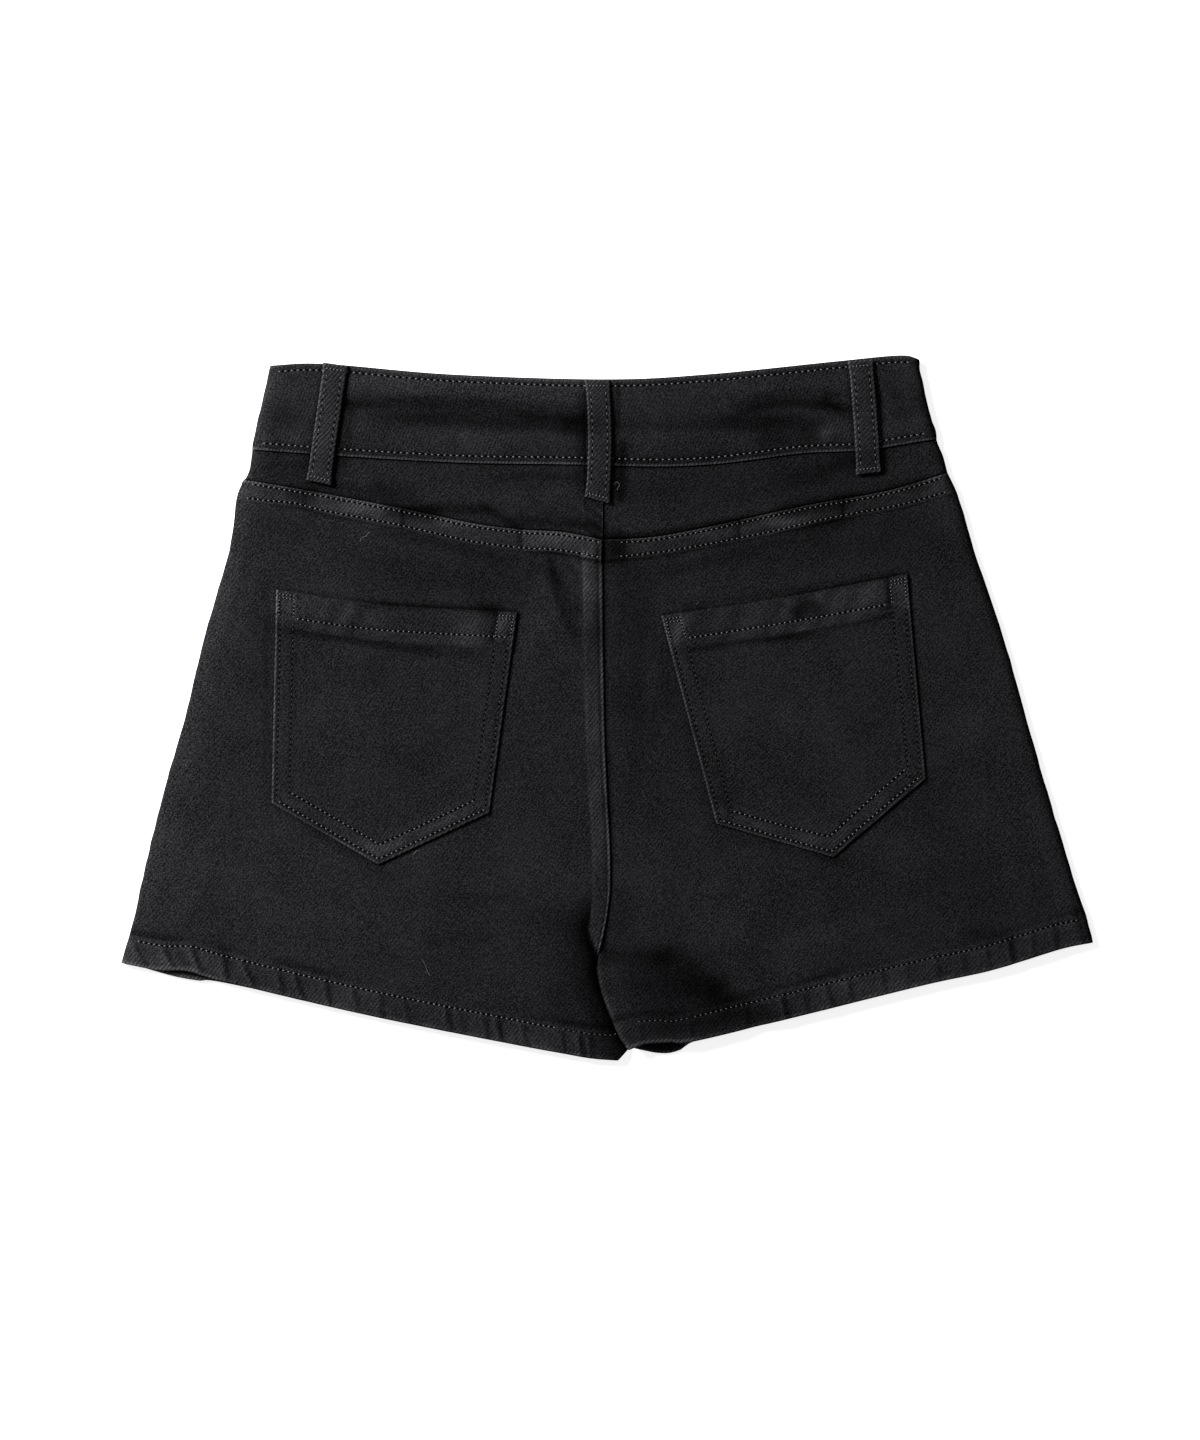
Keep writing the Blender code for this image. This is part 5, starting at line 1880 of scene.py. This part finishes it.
class PlainCloth:
    """A plain panel flat on the table."""

    def __init__(self, outline):
        self.outline = outline

    def skin(self, station, rows):
        down = rows[0] + rows[1] / self.outline.height(station.share)
        x, y = self.outline.at(station.share, down).T
        lower = np.stack([x, y, 0.0 * x], axis=1)
        return lower, lower + np.array([0.0, 0.0, DENIM]), 0.0 * x


class SKORT_OT_fronts(bpy.types.Operator):
    """Lay the plain front under the back: two leg fronts and the skirt panel"""

    bl_idname = "skort.fronts"
    bl_label = "Front and skirt panel"

    def execute(self, context):
        skirt = skirt_outline()
        width, depth = FRONT_SIZE
        rows = stations(depth, [0.0, 6.0], close_rows(HEM + 26.0, 1.6), 6.0)
        near = close_rows(8.0, 1.0)
        for name, side in (("front_left", -1), ("front_right", 1)):
            cloth = FrontCloth(side, skirt)
            ends = ([0.0, 4.0], near) if side < 0 else (near, [0.0, 4.0])
            columns = top_stations(stations(width, *ends, 2.6))
            obj = cloth_object(name + "_cloth", cloth, columns, rows, denim())
            area = cloth.outline.area() * MM * MM
            declare(name, area)
        columns = top_stations((share, 0.0) for share in np.linspace(0.0, 1.0, 60))
        rows = [(share, 0.0) for share in np.linspace(0.0, 1.0, 40)]
        obj = cloth_object("skirt_panel_cloth", PlainCloth(skirt), columns, rows, denim())
        declare("skirt_panel", skirt.area() * MM * MM)
        return {"FINISHED"}


class SKORT_OT_stitches(bpy.types.Operator):
    """Sew every visible row of stitches and the bar tacks"""

    bl_idname = "skort.stitches"
    bl_label = "Stitches"

    def execute(self, context):
        sewing = context.scene.skort_sewing
        self.waistband(sewing.waist_pitch)
        self.yokes(sewing.pitch)
        self.hems(sewing.pitch)
        self.pockets(sewing.pitch)
        self.loops(sewing.loop_pitch)
        return {"FINISHED"}

    def sew(self, name, rows, pitch):
        """Threads that rise between the painted shadows of their holes, one mesh of each for a
        group of rows.
        """
        share, shade, hole = SEWN[name]
        thick = share * bpy.context.scene.skort_sewing.thick
        threads = bmesh.new()
        holes = bmesh.new()
        for route in rows:
            middles, runs = sewn_row(route, pitch)
            if not len(middles):
                continue
            add_grains(threads, middles, runs, (0.19 * pitch, 0.6 * thick, 0.32), 0.18)
            between = middles[:-1] + np.diff(middles, axis=0) / 2.0
            # Black grains between the threads: the painted shadow of each hole
            add_grains(holes, between, runs[:-1], (1.2 * hole, hole, 0.2), 0.12)
        for bm, kind, material in (
            (threads, "threads", thread(shade)),
            (holes, "needle_hole_shadows", needle_hole_shadow()),
        ):
            obj = finished(name + "_" + kind, bm, material)

    def waistband(self, pitch):
        cloth = waistband_cloth()
        span = ((0.0, 4.0), (1.0, -4.0))
        edges = ((0.0, WAIST_TOP_ROW), (1.0, -WAIST_BOTTOM_ROW))
        rows = [row_on(cloth, fixed, span, 260) for fixed in edges]
        self.sew("waistband", rows, pitch)

    def yokes(self, pitch):
        left, right = leg_cloths()
        lines = (RIDGE_TOP_ROW, ridge_row)
        left_rows = [row_on(left, (0.0, line), ((0.0, 4.0), (1.0, -1.0)), 160) for line in lines]
        right_rows = [row_on(right, (0.0, line), ((0.0, 8.0), (1.0, -4.0)), 160) for line in lines]
        self.sew("yoke_left", left_rows, pitch)
        self.sew("yoke_right", right_rows, pitch)

    def hems(self, pitch):
        left, right = leg_cloths()
        left_row = row_on(left, (1.0, -HEM), ((0.0, 4.0), (0.866, 0.0)), 200)
        right_row = row_on(right, (1.0, -HEM), ((0.153, 0.0), (1.0, -4.0)), 200)
        # Rows painted dimmer where they lie in shade near the crotch
        dim_rows = [
            row_on(left, (1.0, -HEM), ((0.865, 0.0), (1.0, -5.0)), 40),
            row_on(right, (1.0, -HEM), ((0.0, 9.0), (0.155, 0.0)), 40),
        ]
        self.sew("hem_left", [left_row], pitch)
        self.sew("hem_right", [right_row], pitch)
        self.sew("hem_middle", dim_rows, pitch)

    def pockets(self, pitch):
        mouths = []
        sides = []
        feet = []
        tacks = []
        for name, mouth_end in (("pocket_left", -3.0), ("pocket_right", -11.5)):
            outline, _ = pocket_outline(name)
            cloth = LaidCloth(outline, side_of(POCKETS[name]["point"][0]), pocket_relief)
            ends = ((0.0, 10.0), (1.0, mouth_end))
            mouths.append(row_on(cloth, (0.0, POCKET_ROW), ends, 90))
            for inset in POCKET_SIDE_ROWS:
                ends = ((0.0, 15.0), (1.0, -0.4 * inset))
                sides.append(column_on(cloth, (0.0, inset), ends, 90))
                sides.append(column_on(cloth, (1.0, -inset), ends, 90))
                feet.append(self.foot_row(cloth, inset))
            for drop in TACK_DROPS:
                tacks.append(row_on(cloth, (0.0, drop), ((0.0, 0.6), (0.0, 10.6)), 12))
                tacks.append(row_on(cloth, (0.0, drop), ((1.0, -10.6), (1.0, -0.6)), 12))
            for inset in TACK_INSETS:
                ends = ((0.0, 4.0), (0.0, 14.6))
                tacks.append(column_on(cloth, (0.0, inset), ends, 12))
                tacks.append(column_on(cloth, (1.0, -inset), ends, 12))
        self.sew("pocket_mouth", mouths, pitch)
        self.sew("pocket_side", sides, pitch)
        self.sew("pocket_foot", feet, pitch)
        self.sew("pocket_tack", tacks, TACK_PITCH)

    def foot_row(self, cloth, inset):
        """The row round a pocket's pointed foot, this far inside its edge."""
        points = []
        for share in np.linspace(0.0, 1.0, 90):
            x = cloth.outline.at(share, 1.0)[0]
            rise = inset / cloth.foot_slope(np.array([x]))[0]
            offset = inset * (1.0 - 2.0 * share)
            points.append(cloth.point(share, offset, 1.0, -rise))
        return points

    def loops(self, pitch):
        rows = []
        tacks = []
        for name in LOOPS:
            cloth = LoopCloth(name)
            edge = 2.4 / LOOP_WIDTH
            for share in (edge, 1.0 - edge):
                rows.append(column_on(cloth, (share, 0.0), ((0.0, 4.6), (1.0, -4.4)), 60))
            for drop in (3.0, cloth.length - 2.4):
                ends = ((0.0, 0.8), (0.0, LOOP_WIDTH - 0.8))
                tacks.append(row_on(cloth, (0.0, drop), ends, 12))
        self.sew("loop", rows, pitch)
        self.sew("loop_tack", tacks, TACK_PITCH)


class SKORT_OT_thread_ends(bpy.types.Operator):
    """Drop the few loose thread ends that lie on the cloth"""

    bl_idname = "skort.thread_ends"
    bl_label = "Thread ends"

    def execute(self, context):
        curve = bpy.data.curves.new("thread_ends", "CURVE")
        curve.dimensions = "3D"
        curve.bevel_depth = 0.08 * MM
        curve.bevel_resolution = 1
        curve.use_fill_caps = True
        for route in THREAD_ENDS:
            points = Line(route).at(np.linspace(0.0, 1.0, 14))
            heights = cloth_top(points[:, 0], points[:, 1], side_of(route[0][0])) + 0.35
            spline = curve.splines.new("POLY")
            spline.points.add(len(points) - 1)
            for point, (x, y), z in zip(spline.points, points, heights):
                point.co = (x * MM, y * MM, z * MM, 1.0)
        obj = bpy.data.objects.new("thread_ends", curve)
        bpy.context.scene.collection.objects.link(obj)
        curve.materials.append(thread(0.6))
        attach(obj, "root")
        return {"FINISHED"}


class SKORT_OT_stage(bpy.types.Operator):
    """Set the floor, the soft light and the camera straight above"""

    bl_idname = "skort.stage"
    bl_label = "Studio"

    def execute(self, context):
        studio = context.scene.skort_studio
        self.floor(studio)
        self.lights(studio)
        self.camera(studio)
        context.scene.view_settings.view_transform = "Standard"
        return {"FINISHED"}

    def floor(self, studio):
        bm = bmesh.new()
        bmesh.ops.create_grid(bm, x_segments=1, y_segments=1, size=6.0)
        bmesh.ops.translate(bm, verts=bm.verts, vec=(0.0, 0.0, FLOOR_Z))
        mesh = bpy.data.meshes.new("studio_floor")
        bm.to_mesh(mesh)
        bm.free()
        mesh.materials.append(floor_finish(studio.floor, studio.glow))
        obj = bpy.data.objects.new("studio_floor", mesh)
        bpy.context.scene.collection.objects.link(obj)

    def lights(self, studio):
        softbox = bpy.data.lights.new("softbox", "AREA")
        softbox.shape = "RECTANGLE"
        softbox.size = studio.softness
        softbox.size_y = studio.softness
        softbox.energy = studio.key
        obj = bpy.data.objects.new("softbox", softbox)
        obj.location = KEY_PLACE
        obj.rotation_euler = (-obj.location).to_track_quat("-Z", "Y").to_euler()
        bpy.context.scene.collection.objects.link(obj)
        world = bpy.data.worlds.new("studio")
        world.use_nodes = True
        world.node_tree.nodes["Background"].inputs["Color"].default_value = (1.0, 1.0, 1.0, 1.0)
        world.node_tree.nodes["Background"].inputs["Strength"].default_value = studio.fill
        bpy.context.scene.world = world

    def camera(self, studio):
        camera = bpy.data.cameras.new("camera")
        camera.lens = studio.lens
        camera.sensor_fit = "VERTICAL"
        camera.sensor_height = 36.0
        camera.clip_start = 0.05
        camera.clip_end = 20.0
        obj = bpy.data.objects.new("camera", camera)
        obj.location = (studio.centre_x, studio.centre_y, studio.distance)
        bpy.context.scene.collection.objects.link(obj)
        bpy.context.scene.camera = obj


class SKORT_PT_panel(bpy.types.Panel):
    """Lists the steps in the sidebar"""

    bl_label = "Denim skort"
    bl_idname = "SKORT_PT_panel"
    bl_space_type = "VIEW_3D"
    bl_region_type = "UI"
    bl_category = "Denim"

    def draw(self, context):
        for operator in OPERATORS:
            self.layout.operator(operator.bl_idname)
        for group in ("skort_cloth", "skort_sewing", "skort_studio"):
            settings = getattr(context.scene, group)
            box = self.layout.box()
            for name in settings.bl_rna.properties.keys():
                if name not in ("rna_type", "name"):
                    box.prop(settings, name)


OPERATORS = (
    SKORT_OT_waistband,
    SKORT_OT_yokes,
    SKORT_OT_backs,
    SKORT_OT_pockets,
    SKORT_OT_loops,
    SKORT_OT_fronts,
    SKORT_OT_stitches,
    SKORT_OT_thread_ends,
    SKORT_OT_stage,
)
CLASSES = (SkortCloth, SkortSewing, SkortStudio, *OPERATORS, SKORT_PT_panel)


def register():
    for cls in CLASSES:
        bpy.utils.register_class(cls)
    bpy.types.Scene.skort_cloth = PointerProperty(type=SkortCloth)
    bpy.types.Scene.skort_sewing = PointerProperty(type=SkortSewing)
    bpy.types.Scene.skort_studio = PointerProperty(type=SkortStudio)


def unregister():
    for name in ("skort_cloth", "skort_sewing", "skort_studio"):
        delattr(bpy.types.Scene, name)
    for cls in reversed(CLASSES):
        bpy.utils.unregister_class(cls)


def main():
    register()
    for operator in OPERATORS:
        step = getattr(bpy.ops.skort, operator.bl_idname.split(".")[1])
        step()


if __name__ == "__main__":
    main()
